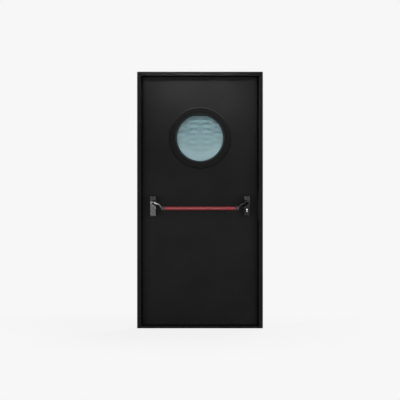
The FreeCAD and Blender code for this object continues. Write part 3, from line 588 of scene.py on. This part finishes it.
# The bands are a painted reflection laid into the glass's colour.
bands = add_node(tree, "ShaderNodeTexNoise", {
    "Vector": band_place.outputs[0], "Scale": 1.0, "Detail": 0.8, "Roughness": 0.6,
})
wave_turns = product(tree, height, 2 * math.pi * PANE_RADIUS / BAND_PITCH)
shifted = calculate(tree, "ADD", wave_turns, remap(tree, side, 0.46, 0.58, 0.0, math.pi))
column_turns = product(tree, calculate(tree, "SUBTRACT", side, BAND_PEAK), math.pi / BAND_PEAK)
column_swing = product(tree, calculate(tree, "COSINE", column_turns), COLUMN_SWING)
columns = calculate(tree, "ADD", column_swing, COLUMN_MEAN)
fading = remap(tree, side, 0.45, 0.75, 1.0, 0.6)
wave = product(tree, calculate(tree, "SINE", shifted), columns, fading)
painted_reflection_bands = calculate(tree, "ADD", remap(tree, bands.outputs["Fac"], 0.38, 0.62, 0.34, 0.66), wave)
band_share = remap(tree, height, BANDS_FROM, BANDS_TO, 0.20, 0.50)
paleness = remap(tree, height, -0.8, 0.8, 0.94, 0.14)
painted_reflection_swing = product(tree, calculate(tree, "SUBTRACT", painted_reflection_bands, 0.5), band_share)
# A painted glow along the pane's lower edge.
near_edge = remap(tree, magnitude(tree, centred), 0.55, 0.98, 0.0, 0.38)
painted_edge_glow = product(tree, near_edge, remap(tree, height, -0.15, -0.5, 0.0, 1.0))
glass_share = calculate(tree, "ADD", calculate(tree, "ADD", paleness, painted_reflection_swing), painted_edge_glow, clamp=True)
tree.links.new(blend_colours(tree, glass_share, GLASS_DEEP, GLASS_PALE), shader.inputs["Base Color"])
paint(fire_glass, "porthole_glass")

# %% [markdown]
# ## Screws
#
# Small fasteners repeat, so Geometry Nodes set them out. A screw head is modelled once: its round
# loops and the outline of its recess have the same number of points, so quads join them with no
# gaps. How far a cross or a hexagon reaches is a formula of the angle.

# %% Screw heads
HEAD_POINTS = 48
FULL_TURN = 2 * math.pi


def bridge(work, loops):
    """Quads from each loop of corners to the next one."""
    for here, there in zip(loops, loops[1:]):
        for index in range(len(here)):
            following = (index + 1) % len(here)
            work.faces.new((here[index], here[following], there[following], there[index]))


def outward_mesh(name, work):
    """The mesh of a bmesh, with all faces outwards."""
    bmesh.ops.recalc_face_normals(work, faces=work.faces)
    mesh = bpy.data.meshes.new(name)
    work.to_mesh(mesh)
    work.free()
    return mesh


def full_reach(angle):
    """The same at every angle: a round head."""
    return 1.0


def cross_recess(angle, reach=0.52, half_width=0.13):
    """How far a cross reaches at an angle, for a head with a radius of 1."""
    turned = abs((angle + math.pi / 4) % (math.pi / 2) - math.pi / 4)
    along = reach / math.cos(turned)
    across = half_width / max(math.sin(turned), 1e-6)
    return min(along, across)


def hexagon_recess(angle, half_width=0.42):
    """How far a hexagon reaches at an angle, for a head with a radius of 1."""
    turned = (angle + math.pi / 6) % (math.pi / 3) - math.pi / 6
    return half_width / math.cos(turned)


def head_pattern(name, recess, rise, depth, skirt):
    """A closed head along +Z: skirt, rim, recess edge and floor. It stays outside the scene."""
    levels = (
        (1.0, full_reach, -skirt), (1.0, full_reach, 0.4 * rise), (0.86, full_reach, rise),
        (1.0, recess, rise), (0.75, recess, rise - depth),
    )
    work = bmesh.new()
    rings = []
    for share, reach, height in levels:
        ring = []
        for index in range(HEAD_POINTS):
            angle = FULL_TURN * index / HEAD_POINTS
            radius = share * reach(angle)
            ring.append(work.verts.new((radius * math.cos(angle), radius * math.sin(angle), height)))
        rings.append(ring)
    bridge(work, rings)
    work.faces.new(list(reversed(rings[0])))
    work.faces.new(rings[-1])
    return bpy.data.objects.new(name, outward_mesh(name, work))


cross_head = head_pattern("cross_head", cross_recess, rise=0.05, depth=0.35, skirt=0.3)
socket_head = head_pattern("socket_head", hexagon_recess, rise=0.55, depth=0.5, skirt=0.05)
print("faces in a head:", len(cross_head.data.polygons))

# %% [markdown]
# One node tree places a head at each point of a straight row, another round a circle. Their sizes
# are named inputs, so one tree serves a hinge and a lock plate. Instances would be lost on export,
# so each tree ends by making them real and giving them their material.

# %% A tree for rows and rings of heads
def new_tree(name, **inputs):
    """An empty geometry tree, the sockets of its inputs by name, and its output node."""
    inputs = dict(inputs, Radius="Float", Material="Material")
    tree = bpy.data.node_groups.new(name, "GeometryNodeTree")
    tree.interface.new_socket("Geometry", in_out="OUTPUT", socket_type="NodeSocketGeometry")
    for label, kind in inputs.items():
        tree.interface.new_socket(label, in_out="INPUT", socket_type="NodeSocket" + kind)
    return tree, tree.nodes.new("NodeGroupInput").outputs, tree.nodes.new("NodeGroupOutput")


def finish_tree(tree, given, last, instances):
    """Makes the instances real and sets the material."""
    real = add_node(tree, "GeometryNodeRealizeInstances", {"Geometry": instances})
    dressed = add_node(tree, "GeometryNodeSetMaterial", {
        "Geometry": real.outputs[0], "Material": given["Material"],
    })
    tree.links.new(dressed.outputs[0], last.inputs["Geometry"])


def heads_on(tree, given, points, **turns):
    """A head on each point."""
    head = add_node(tree, "GeometryNodeObjectInfo", {"Object": given["Head"]})
    return add_node(tree, "GeometryNodeInstanceOnPoints", {
        "Points": points, "Instance": head.outputs["Geometry"], "Scale": given["Radius"], **turns,
    }).outputs[0]


row_tree, given, last = new_tree(
    "row_of_heads", Head="Object", Count="Int", Start="Vector", Step="Vector", Turn="Rotation",
)
line = add_node(row_tree, "GeometryNodeMeshLine", {
    "Count": given["Count"], "Start Location": given["Start"], "Offset": given["Step"],
})
heads = heads_on(row_tree, given, line.outputs["Mesh"], Rotation=given["Turn"])
finish_tree(row_tree, given, last, heads)

ring_tree, given, last = new_tree(
    "ring_of_heads", Head="Object", Count="Int", Centre="Vector", Loop="Float", Turn="Rotation",
)
circle = add_node(ring_tree, "GeometryNodeMeshCircle", {
    "Vertices": given["Count"], "Radius": given["Loop"],
})
stood = add_node(ring_tree, "GeometryNodeTransform", {
    "Geometry": heads_on(ring_tree, given, circle.outputs["Mesh"]),
    "Translation": given["Centre"], "Rotation": given["Turn"],
})
finish_tree(ring_tree, given, last, stood.outputs[0])


def grown(name, tree, **inputs):
    """Runs a tree and returns a new object with the plain mesh that it made."""
    holder = add_object(name, bpy.data.meshes.new(name + "_base"))
    modifier = holder.modifiers.new("build", "NODES")
    modifier.node_group = tree
    identifiers = {
        item.name: item.identifier for item in tree.interface.items_tree
        if item.item_type == "SOCKET" and item.in_out == "INPUT"
    }
    for label, value in inputs.items():
        modifier[identifiers[label]] = value
    evaluated = holder.evaluated_get(bpy.context.evaluated_depsgraph_get())
    mesh = bpy.data.meshes.new_from_object(evaluated)
    holder.modifiers.clear()
    holder.data = mesh
    return holder


def single(name, head, place, turn, radius, material):
    """One head at a place."""
    return grown(
        name, row_tree, Head=head, Count=1, Start=place, Step=(0, 0, 0), Turn=turn, Radius=radius,
        Material=material,
    )


def joined(name, parts):
    """One object from several, with their meshes added together."""
    work = bmesh.new()
    materials = []
    for part in parts:
        start = len(work.faces)
        work.from_mesh(part.data)
        work.faces.ensure_lookup_table()
        for face in work.faces[start:]:
            own = part.data.materials[face.material_index]
            if own not in materials:
                materials.append(own)
            face.material_index = materials.index(own)
        bpy.data.objects.remove(part)
    mesh = bpy.data.meshes.new(name)
    work.to_mesh(mesh)
    work.free()
    for material in materials:
        mesh.materials.append(material)
    return add_object(name, mesh)


def add_piece(piece, body):
    """Ties a finished piece to its body."""
    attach(piece, body)
    print(piece.name, "on", body + ":", len(piece.data.polygons), "faces")
    return piece


# %% [markdown]
# A head points along +Z until it is turned. On the push side it looks along -Y, on the pull side
# along +Y, and in the edges sideways. Hinges and lock plates have upright rows of screws.

# %% Screws of the leaf and the frame
QUARTER = math.pi / 2
TO_PUSH_SIDE = (QUARTER, 0.0, 0.0)
TO_PULL_SIDE = (-QUARTER, 0.0, 0.0)
TO_LOCK = (0.0, QUARTER, 0.0)
TO_HINGE = (0.0, -QUARTER, 0.0)
TO_CEILING = (0.0, 0.0, 0.0)
TO_FLOOR = (math.pi, 0.0, 0.0)
PROUD = 0.05 * MM

# The end is from a plate's end to its first screw. A hinge flag is only part of its node's width.
HINGE_ROW = {"count": 4, "end": 18 * MM, "radius": 3.6 * MM, "width": 19.6 * MM}
PLATE_ROW = {"count": 2, "end": 9 * MM, "radius": 3.8 * MM, "width": None}


def screw_row(node, face_x, turn, material, count, end, radius, width):
    """An upright row of screws along the middle of a plate or of a hinge flag."""
    low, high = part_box(node)
    middle_y = low.y + (width or high.y - low.y) / 2
    step = (high.z - low.z - 2 * end) / (count - 1)
    return grown(
        node + "_screws", row_tree, Head=cross_head, Count=count, Step=(0, 0, step),
        Start=(face_x, middle_y, low.z + end), Turn=turn, Radius=radius, Material=material,
    )


FLAG_THICK = 2.4 * MM
lip_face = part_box("leaf_pull_side")[0].x - FLAG_THICK
plate_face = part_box("lock_faceplate")[1].x
strike_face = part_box("strike_plate")[0].x
leaf_rows = []
frame_rows = []
for where in HINGES:
    leaf_flag = "hinge_leaf_half_" + where
    frame_flag = "hinge_frame_half_" + where
    leaf_rows.append(screw_row(leaf_flag, lip_face - PROUD, TO_HINGE, bright_steel, **HINGE_ROW))
    flag_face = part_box(frame_flag)[0].x + FLAG_THICK
    frame_rows.append(screw_row(frame_flag, flag_face + PROUD, TO_LOCK, bright_steel, **HINGE_ROW))
leaf_rows.append(screw_row("lock_faceplate", plate_face + PROUD, TO_LOCK, bright_steel, **PLATE_ROW))
add_piece(joined("leaf_screws", leaf_rows), "leaf")
add_piece(joined("hinge_frame_screws", frame_rows), "frame")
strike_screws = screw_row("strike_plate", strike_face - PROUD, TO_HINGE, dark_steel, **PLATE_ROW)
add_piece(strike_screws, "frame")

# %% [markdown]
# On the pull side eight screws clamp the two rings and the glass together. Each end case is held by
# one socket screw, sunk in its hood, and each lower cover by a small one from below.

# %% Screws of the rings and the cases
RING_SCREWS = 8
RING_SCREW_RADIUS = 4.2 * MM
HOOD_SCREW_OUT = 6 * MM
HOOD_SCREW_Z = 1.034
HOOD_RECESS_DEPTH = 3 * MM
HOOD_SCREW_RADIUS = 4.3 * MM
COVER_SCREW_RADIUS = 3 * MM
GASKET_SQUEEZE = 0.5 * MM  # rubber fills the last gap to the ring

back_ring_low, back_ring_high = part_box("porthole_ring_pull_side")
bore_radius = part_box("porthole_seal_pull_side")[1].x + GASKET_SQUEEZE
flange_middle = (bore_radius + back_ring_high.x) / 2
ring_screws = grown(
    "ring_screws", ring_tree, Head=cross_head, Count=RING_SCREWS, Loop=flange_middle,
    Centre=(0, back_ring_high.y + PROUD, PORTHOLE_CENTRE.z), Turn=TO_PULL_SIDE,
    Radius=RING_SCREW_RADIUS, Material=dark_steel,
)
add_piece(ring_screws, "leaf")

case_parts = []
for side in ("hinge_side", "lock_side"):
    case_low, case_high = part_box("end_case_" + side)
    middle_x = (case_low.x + case_high.x) / 2
    recess_x = middle_x + math.copysign(HOOD_SCREW_OUT, middle_x)
    case_parts.append(single(
        "hood_screw_" + side, socket_head, (recess_x, case_low.y + HOOD_RECESS_DEPTH, HOOD_SCREW_Z),
        TO_PUSH_SIDE, HOOD_SCREW_RADIUS, collar_black,
    ))
    cover_low, cover_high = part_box("lower_cover_" + side)
    foot_place = (middle_x, (cover_low.y + cover_high.y) / 2, cover_low.z - PROUD)
    case_parts.append(single(
        "cover_screw_" + side, cross_head, foot_place, TO_FLOOR, COVER_SCREW_RADIUS, dark_steel,
    ))
add_piece(joined("case_screws", case_parts), "leaf")

# %% [markdown]
# ## Round and straight profiles
#
# A gasket, a sleeve or a seal has one section all along. One function turns a section round an
# axis, another pulls it along a line. Only edges flatter than a given angle are smoothed.

# %% Turned and pulled profiles
TURN_STEPS = 144
SHARP_ANGLE = math.radians(32)


def mesh_object(name, work, material):
    """A new object from a finished bmesh, with faces outwards and only real corners sharp."""
    mesh = outward_mesh(name, work)
    mesh.materials.append(material)
    mesh.shade_smooth()
    mesh.set_sharp_from_angle(angle=SHARP_ANGLE)
    return add_object(name, mesh)


def closed_band(name, outlines, material):
    """A band through several outlines of the same number of points, and back to the first."""
    work = bmesh.new()
    loops = [[work.verts.new(point) for point in outline] for outline in outlines]
    bridge(work, loops + loops[:1])
    return mesh_object(name, work, material)


def turned_ring(name, section, centre, axis, material):
    """A closed ring: (radius, along) points of a section, turned round an axis."""
    centre = Vector(centre)
    axis = Vector(axis)
    first = axis.orthogonal().normalized()
    second = axis.cross(first)
    outlines = []
    for step in range(TURN_STEPS):
        angle = FULL_TURN * step / TURN_STEPS
        outward = math.cos(angle) * first + math.sin(angle) * second
        outlines.append([centre + along * axis + radius * outward for radius, along in section])
    return closed_band(name, outlines, material)


def pulled_strip(name, outline, along, material):
    """A solid strip: a closed outline of points, pulled along a line."""
    work = bmesh.new()
    near = [work.verts.new(point) for point in outline]
    far = [work.verts.new(Vector(point) + Vector(along)) for point in outline]
    bridge(work, [near, far])
    work.faces.new(near)
    work.faces.new(list(reversed(far)))
    return mesh_object(name, work, material)


# %% [markdown]
# The rubber in each ring slopes down to the glass and has five fine ribs, which press into the
# pane's edge when the rings are screwed together.

# %% Glazing gaskets
GASKET_RIBS = 5
RIB_HEIGHT = 0.7 * MM
RIB_POINTS = 6
GASKET_LIP = 4 * MM
PANE_SIGHT = PANE_RADIUS - 10 * MM  # radius of the pane that stays in sight


def gasket(name, node, outward):
    """The ribbed rubber of one side: its slope runs from the glass up to the ring's inside."""
    low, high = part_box(node)
    glass_y, edge_y = (high.y, low.y) if outward < 0 else (low.y, high.y)
    reach = abs(edge_y - glass_y)
    inner = Vector((PANE_SIGHT, GASKET_LIP))
    bore = high.x + GASKET_SQUEEZE
    outer = Vector((bore - GASKET_LIP, reach))
    slope = outer - inner
    raised = Vector((-slope.y, slope.x)).normalized()
    section = [(PANE_SIGHT, 0.0)]
    steps = GASKET_RIBS * RIB_POINTS
    for step in range(steps + 1):
        share = step / steps
        rib = abs(math.sin(math.pi * GASKET_RIBS * share))
        point = inner + share * slope + RIB_HEIGHT * rib * raised
        section.append((point.x, point.y))
    section += [(bore, reach), (bore, 0.0)]
    return turned_ring(name, section, (0, glass_y, PORTHOLE_CENTRE.z), (0, outward, 0), glazing_rubber)


gaskets = joined("porthole_gaskets", [
    gasket("gasket_push_side", "porthole_seal_push_side", -1),
    gasket("gasket_pull_side", "porthole_seal_pull_side", 1),
])
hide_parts("porthole_seal_push_side", "porthole_seal_pull_side")
add_piece(gaskets, "leaf")

# %% [markdown]
# The seals in the frame's rebate are extruded rubber: a flat foot, a small groove on each side and
# a soft dome that the lip of the leaf rests on.

# %% Rebate seals
SEAL_FOOT = 1.3 * MM
SEAL_GROOVE = 1.1 * MM
DOME_POINTS = 14


def bulb_section(width, depth):
    """The (across, out) points of a seal: its foot, then the dome."""
    middle = width / 2
    half = middle - SEAL_GROOVE
    dome_foot = 0.6 * SEAL_FOOT
    points = [(0.0, 0.0), (width, 0.0), (width, SEAL_FOOT)]
    for step in range(DOME_POINTS + 1):
        angle = math.pi * step / DOME_POINTS
        rise = dome_foot + (depth - dome_foot) * math.sin(angle)
        points.append((middle + half * math.cos(angle), rise))
    return points + [(0.0, SEAL_FOOT)]


def bulb_seal(node, upright):
    """A domed strip in the place of one straight seal."""
    low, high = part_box(node)
    size = high - low
    outline = []
    for across, out in bulb_section(size.x if upright else size.z, size.y):
        if upright:
            outline.append((low.x + across, low.y + out, low.z))
        else:
            outline.append((low.x, low.y + out, low.z + across))
    along = (0, 0, size.z) if upright else (size.x, 0, 0)
    return pulled_strip(node + "_bulb", outline, along, rubber)


rebate_seals = joined("rebate_seals", [
    bulb_seal("seal_hinge_side", True),
    bulb_seal("seal_lock_side", True),
    bulb_seal("seal_head", False),
    bulb_seal("seal_threshold", False),
])
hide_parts("seal_hinge_side", "seal_lock_side", "seal_head", "seal_threshold")
add_piece(rebate_seals, "frame")

# %% [markdown]
# ## Tubes along arcs, and hoops
#
# Two more trees make thin round trim. One sweeps a round section along an arc through three points,
# for the raised edge of each lower cover. The other bends the section into a hoop, for the rings on
# the bar's sleeves and the grommets in the frame.

# %% Trees for tubes and hoops
def tube_mesh(tree, given, path):
    """A round tube along a path, smooth, with closed ends."""
    section = add_node(tree, "GeometryNodeCurvePrimitiveCircle", {
        "Resolution": 12, "Radius": given["Radius"],
    })
    tube = add_node(tree, "GeometryNodeCurveToMesh", {
        "Curve": path, "Profile Curve": section.outputs["Curve"], "Fill Caps": True,
    })
    return add_node(tree, "GeometryNodeSetShadeSmooth", {"Geometry": tube.outputs["Mesh"]}).outputs[0]


arc_tree, given, last = new_tree("tube_along_arc", Start="Vector", Middle="Vector", End="Vector")
arc = add_node(arc_tree, "GeometryNodeCurveArc", {
    "Resolution": 24, "Start": given["Start"], "Middle": given["Middle"], "End": given["End"],
}, mode="POINTS")
finish_tree(arc_tree, given, last, tube_mesh(arc_tree, given, arc.outputs["Curve"]))

hoop_tree, given, last = new_tree("hoop", Centre="Vector", Loop="Float", Turn="Rotation")
round_path = add_node(hoop_tree, "GeometryNodeCurvePrimitiveCircle", {
    "Resolution": 96, "Radius": given["Loop"],
})
hoop = tube_mesh(hoop_tree, given, round_path.outputs["Curve"])
placed = add_node(hoop_tree, "GeometryNodeTransform", {
    "Geometry": hoop, "Translation": given["Centre"], "Rotation": given["Turn"],
})
finish_tree(hoop_tree, given, last, placed.outputs[0])

# %% Raised edges of the lower covers
PIVOT_Z = 1.006
EDGE_RADIUS = 2.6 * MM
EDGE_SINK = 1.7 * MM  # how deep the edge's middle lies behind the cover's front
EDGE_BELOW = 2.2 * MM
# Outwards from the case's middle and down from the pivot, in millimetres.
SWEEP_ARC = ((20.5, -3.0), (6.0, 23.0), (-12.0, 35.0))
SHOULDER_ARC = ((-12.0, 35.0), (-17.5, 40.0), (-20.5, 49.0))


def cover_edge(side, material):
    """Both arcs of one cover's top edge."""
    low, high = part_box("lower_cover_" + side)
    middle_x = (low.x + high.x) / 2
    direction = math.copysign(1, middle_x)
    runs = []
    for arc_points in (SWEEP_ARC, SHOULDER_ARC):
        places = []
        for outwards, down in arc_points:
            x = middle_x + direction * outwards * MM
            places.append((x, low.y + EDGE_SINK, PIVOT_Z - down * MM - EDGE_BELOW))
        runs.append(grown(
            "cover_edge_run", arc_tree, Start=places[0], Middle=places[1], End=places[2],
            Radius=EDGE_RADIUS, Material=material,
        ))
    return joined("cover_edge_" + side, runs)


# The hinge side's edge gets the painted highlight, the lock side's the painted shade.
add_piece(cover_edge("hinge_side", rim_lit_copy), "leaf")
add_piece(cover_edge("lock_side", rim_shaded_copy), "leaf")

# %% [markdown]
# Each end of the red tube sits in a plastic sleeve that covers the arm's socket. It tapers towards
# the arm, two thin rings close it, and a grub screw underneath holds the tube.

# %% Sleeves on the bar's ends
SLEEVE_RADIUS = 16.3 * MM
SLEEVE_LENGTH = 28.4 * MM
SLEEVE_LAP = 0.6 * MM  # how far it reaches over the tube
SLEEVE_TAPER = 4.4 * MM
SLEEVE_RING_PLACES = (2.6 * MM, 6.4 * MM)  # from the tube's end
SLEEVE_RING_RADIUS = 0.7 * MM
GRUB_PLACE = 14 * MM
GRUB_RADIUS = 2.5 * MM

bar_low, bar_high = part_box("push_bar")
bar_y = (bar_low.y + bar_high.y) / 2
bar_z = (bar_low.z + bar_high.z) / 2
bar_radius = (bar_high.z - bar_low.z) / 2
socket_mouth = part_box("bar_arm_lock_side")[0].x
sleeve_section = [
    (bar_radius + 0.1 * MM, -SLEEVE_LAP),
    (SLEEVE_RADIUS - 0.5 * MM, -SLEEVE_LAP),
    (SLEEVE_RADIUS, 0.2 * MM),
    (SLEEVE_RADIUS, SLEEVE_LENGTH - SLEEVE_TAPER - 0.5 * MM),
    (SLEEVE_RADIUS - 0.4 * MM, SLEEVE_LENGTH - SLEEVE_TAPER),
    (SLEEVE_RADIUS - SLEEVE_TAPER, SLEEVE_LENGTH - 0.2 * MM),
    (SLEEVE_RADIUS - SLEEVE_TAPER - 0.8 * MM, SLEEVE_LENGTH),
    (bar_radius - 4 * MM, SLEEVE_LENGTH - 2 * MM),
    (bar_radius + 0.1 * MM, SLEEVE_LENGTH - 8 * MM),
]
sleeves = []
fittings = []
for side in (-1, 1):
    mouth = (side * socket_mouth, bar_y, bar_z)
    sleeves.append(turned_ring("sleeve", sleeve_section, mouth, (side, 0, 0), sleeve_plastic))
    for along in SLEEVE_RING_PLACES:
        fittings.append(grown(
            "sleeve_ring", hoop_tree, Centre=(side * (socket_mouth + along), bar_y, bar_z),
            Loop=SLEEVE_RADIUS, Turn=TO_LOCK, Radius=SLEEVE_RING_RADIUS, Material=collar_black,
        ))
    grub_seat = (side * (socket_mouth + GRUB_PLACE), bar_y, bar_z - SLEEVE_RADIUS + 0.6 * MM)
    fittings.append(single("grub_screw", socket_head, grub_seat, TO_FLOOR, GRUB_RADIUS, dark_steel))
add_piece(joined("bar_sleeves", sleeves), "push_bar_set")
add_piece(joined("sleeve_rings", fittings), "push_bar_set")

# %% [markdown]
# ## The lock cylinder
#
# A black collar guards the cylinder where it comes through the cover, and laps over its edge. Each
# of its outlines is the cylinder's own keyhole shape, made wider or narrower. A turning plug with
# the keyway closes each end of the cylinder.

# %% Collar and plugs
cylinder_low, cylinder_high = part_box("lock_cylinder")
CYLINDER_X = (cylinder_low.x + cylinder_high.x) / 2
BARREL_RADIUS = (cylinder_high.x - cylinder_low.x) / 2
BARREL_Z = cylinder_high.z - BARREL_RADIUS
WEB_HALF = 5 * MM
FOOT_Z = cylinder_low.z + WEB_HALF
COLLAR_WIDTH = 3.0 * MM  # outside the cylinder
COLLAR_LAP = 2.8 * MM  # over the cylinder's own edge
COLLAR_THICK = 0.9 * MM
ROUND_POINTS = 28
PLUG_RADIUS = 5.3 * MM


def keyhole_outline(offset, y):
    """The outline of a profile cylinder, grown by an offset, in the plane at y."""
    radius = BARREL_RADIUS + offset
    half = WEB_HALF + offset
    opening = math.asin(half / radius)
    points = []
    for step in range(ROUND_POINTS + 1):
        angle = -QUARTER + opening + (FULL_TURN - 2 * opening) * step / ROUND_POINTS
        points.append((CYLINDER_X + radius * math.cos(angle), y, BARREL_Z + radius * math.sin(angle)))
    for step in range(ROUND_POINTS // 2 + 1):
        angle = math.pi + math.pi * step / (ROUND_POINTS // 2)
        points.append((CYLINDER_X + half * math.cos(angle), y, FOOT_Z + half * math.sin(angle)))
    return points


cover_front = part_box("lower_cover_lock_side")[0].y
collar_back = cylinder_low.y - 0.1 * MM
collar_front = collar_back - COLLAR_THICK
collar_levels = (
    (0.25 * MM, cover_front + 0.5 * MM), (0.25 * MM, collar_back), (-COLLAR_LAP, collar_back),
    (0.3 * MM - COLLAR_LAP, collar_front), (COLLAR_WIDTH - 0.8 * MM, collar_front),
    (COLLAR_WIDTH, collar_front + 0.8 * MM), (COLLAR_WIDTH, cover_front + 0.5 * MM),
)
collar_outlines = [keyhole_outline(offset, y) for offset, y in collar_levels]
add_piece(closed_band("cylinder_collar", collar_outlines, collar_black), "leaf")


def keyway_recess(angle, half_width=0.15, half_height=0.72):
    """How far a keyway reaches at an angle, for a plug with a radius of 1."""
    across = half_width / max(abs(math.cos(angle)), 1e-6)
    along = half_height / max(abs(math.sin(angle)), 1e-6)
    return min(across, along)


plug_face = head_pattern("plug_face", keyway_recess, rise=0.04, depth=1.9, skirt=0.05)
plugs = [
    single("plug", plug_face, (CYLINDER_X, face_y, BARREL_Z), turn, PLUG_RADIUS, nickel)
    for face_y, turn in ((cylinder_low.y, TO_PUSH_SIDE), (cylinder_high.y, TO_PULL_SIDE))
]
add_piece(joined("cylinder_plugs", plugs), "leaf")

# %% [markdown]
# ## Grommets in the frame's fixing holes
#
# The frame is fixed through three holes in each jamb and two in the threshold. A thin rubber
# grommet protects the edge of each hole in the jambs, and a steel ring lines those in the
# threshold. The holes stay open for the installer.

# %% Grommets
ANCHOR_Y = -0.030
ANCHOR_HEIGHTS = (0.250, 1.020, 1.790)
THRESHOLD_ANCHOR_X = 0.300
STOP_FACE_X = 0.468
GROMMET_HOOP, GROMMET_RADIUS = 7.4 * MM, 1.0 * MM
LINER_HOOP, LINER_RADIUS = 5.9 * MM, 0.7 * MM

grommets = [
    grown(
        "grommet", hoop_tree, Centre=(side * STOP_FACE_X, ANCHOR_Y, height), Loop=GROMMET_HOOP,
        Turn=TO_LOCK, Radius=GROMMET_RADIUS, Material=rubber,
    )
    for side in (-1, 1) for height in ANCHOR_HEIGHTS
]
add_piece(joined("jamb_grommets", grommets), "frame")

threshold_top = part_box("threshold")[1].z
liners = [
    grown(
        "liner", hoop_tree, Centre=(side * THRESHOLD_ANCHOR_X, ANCHOR_Y, threshold_top),
        Loop=LINER_HOOP, Turn=TO_CEILING, Radius=LINER_RADIUS, Material=dark_steel,
    )
    for side in (-1, 1)
]
add_piece(joined("threshold_liners", liners), "frame")
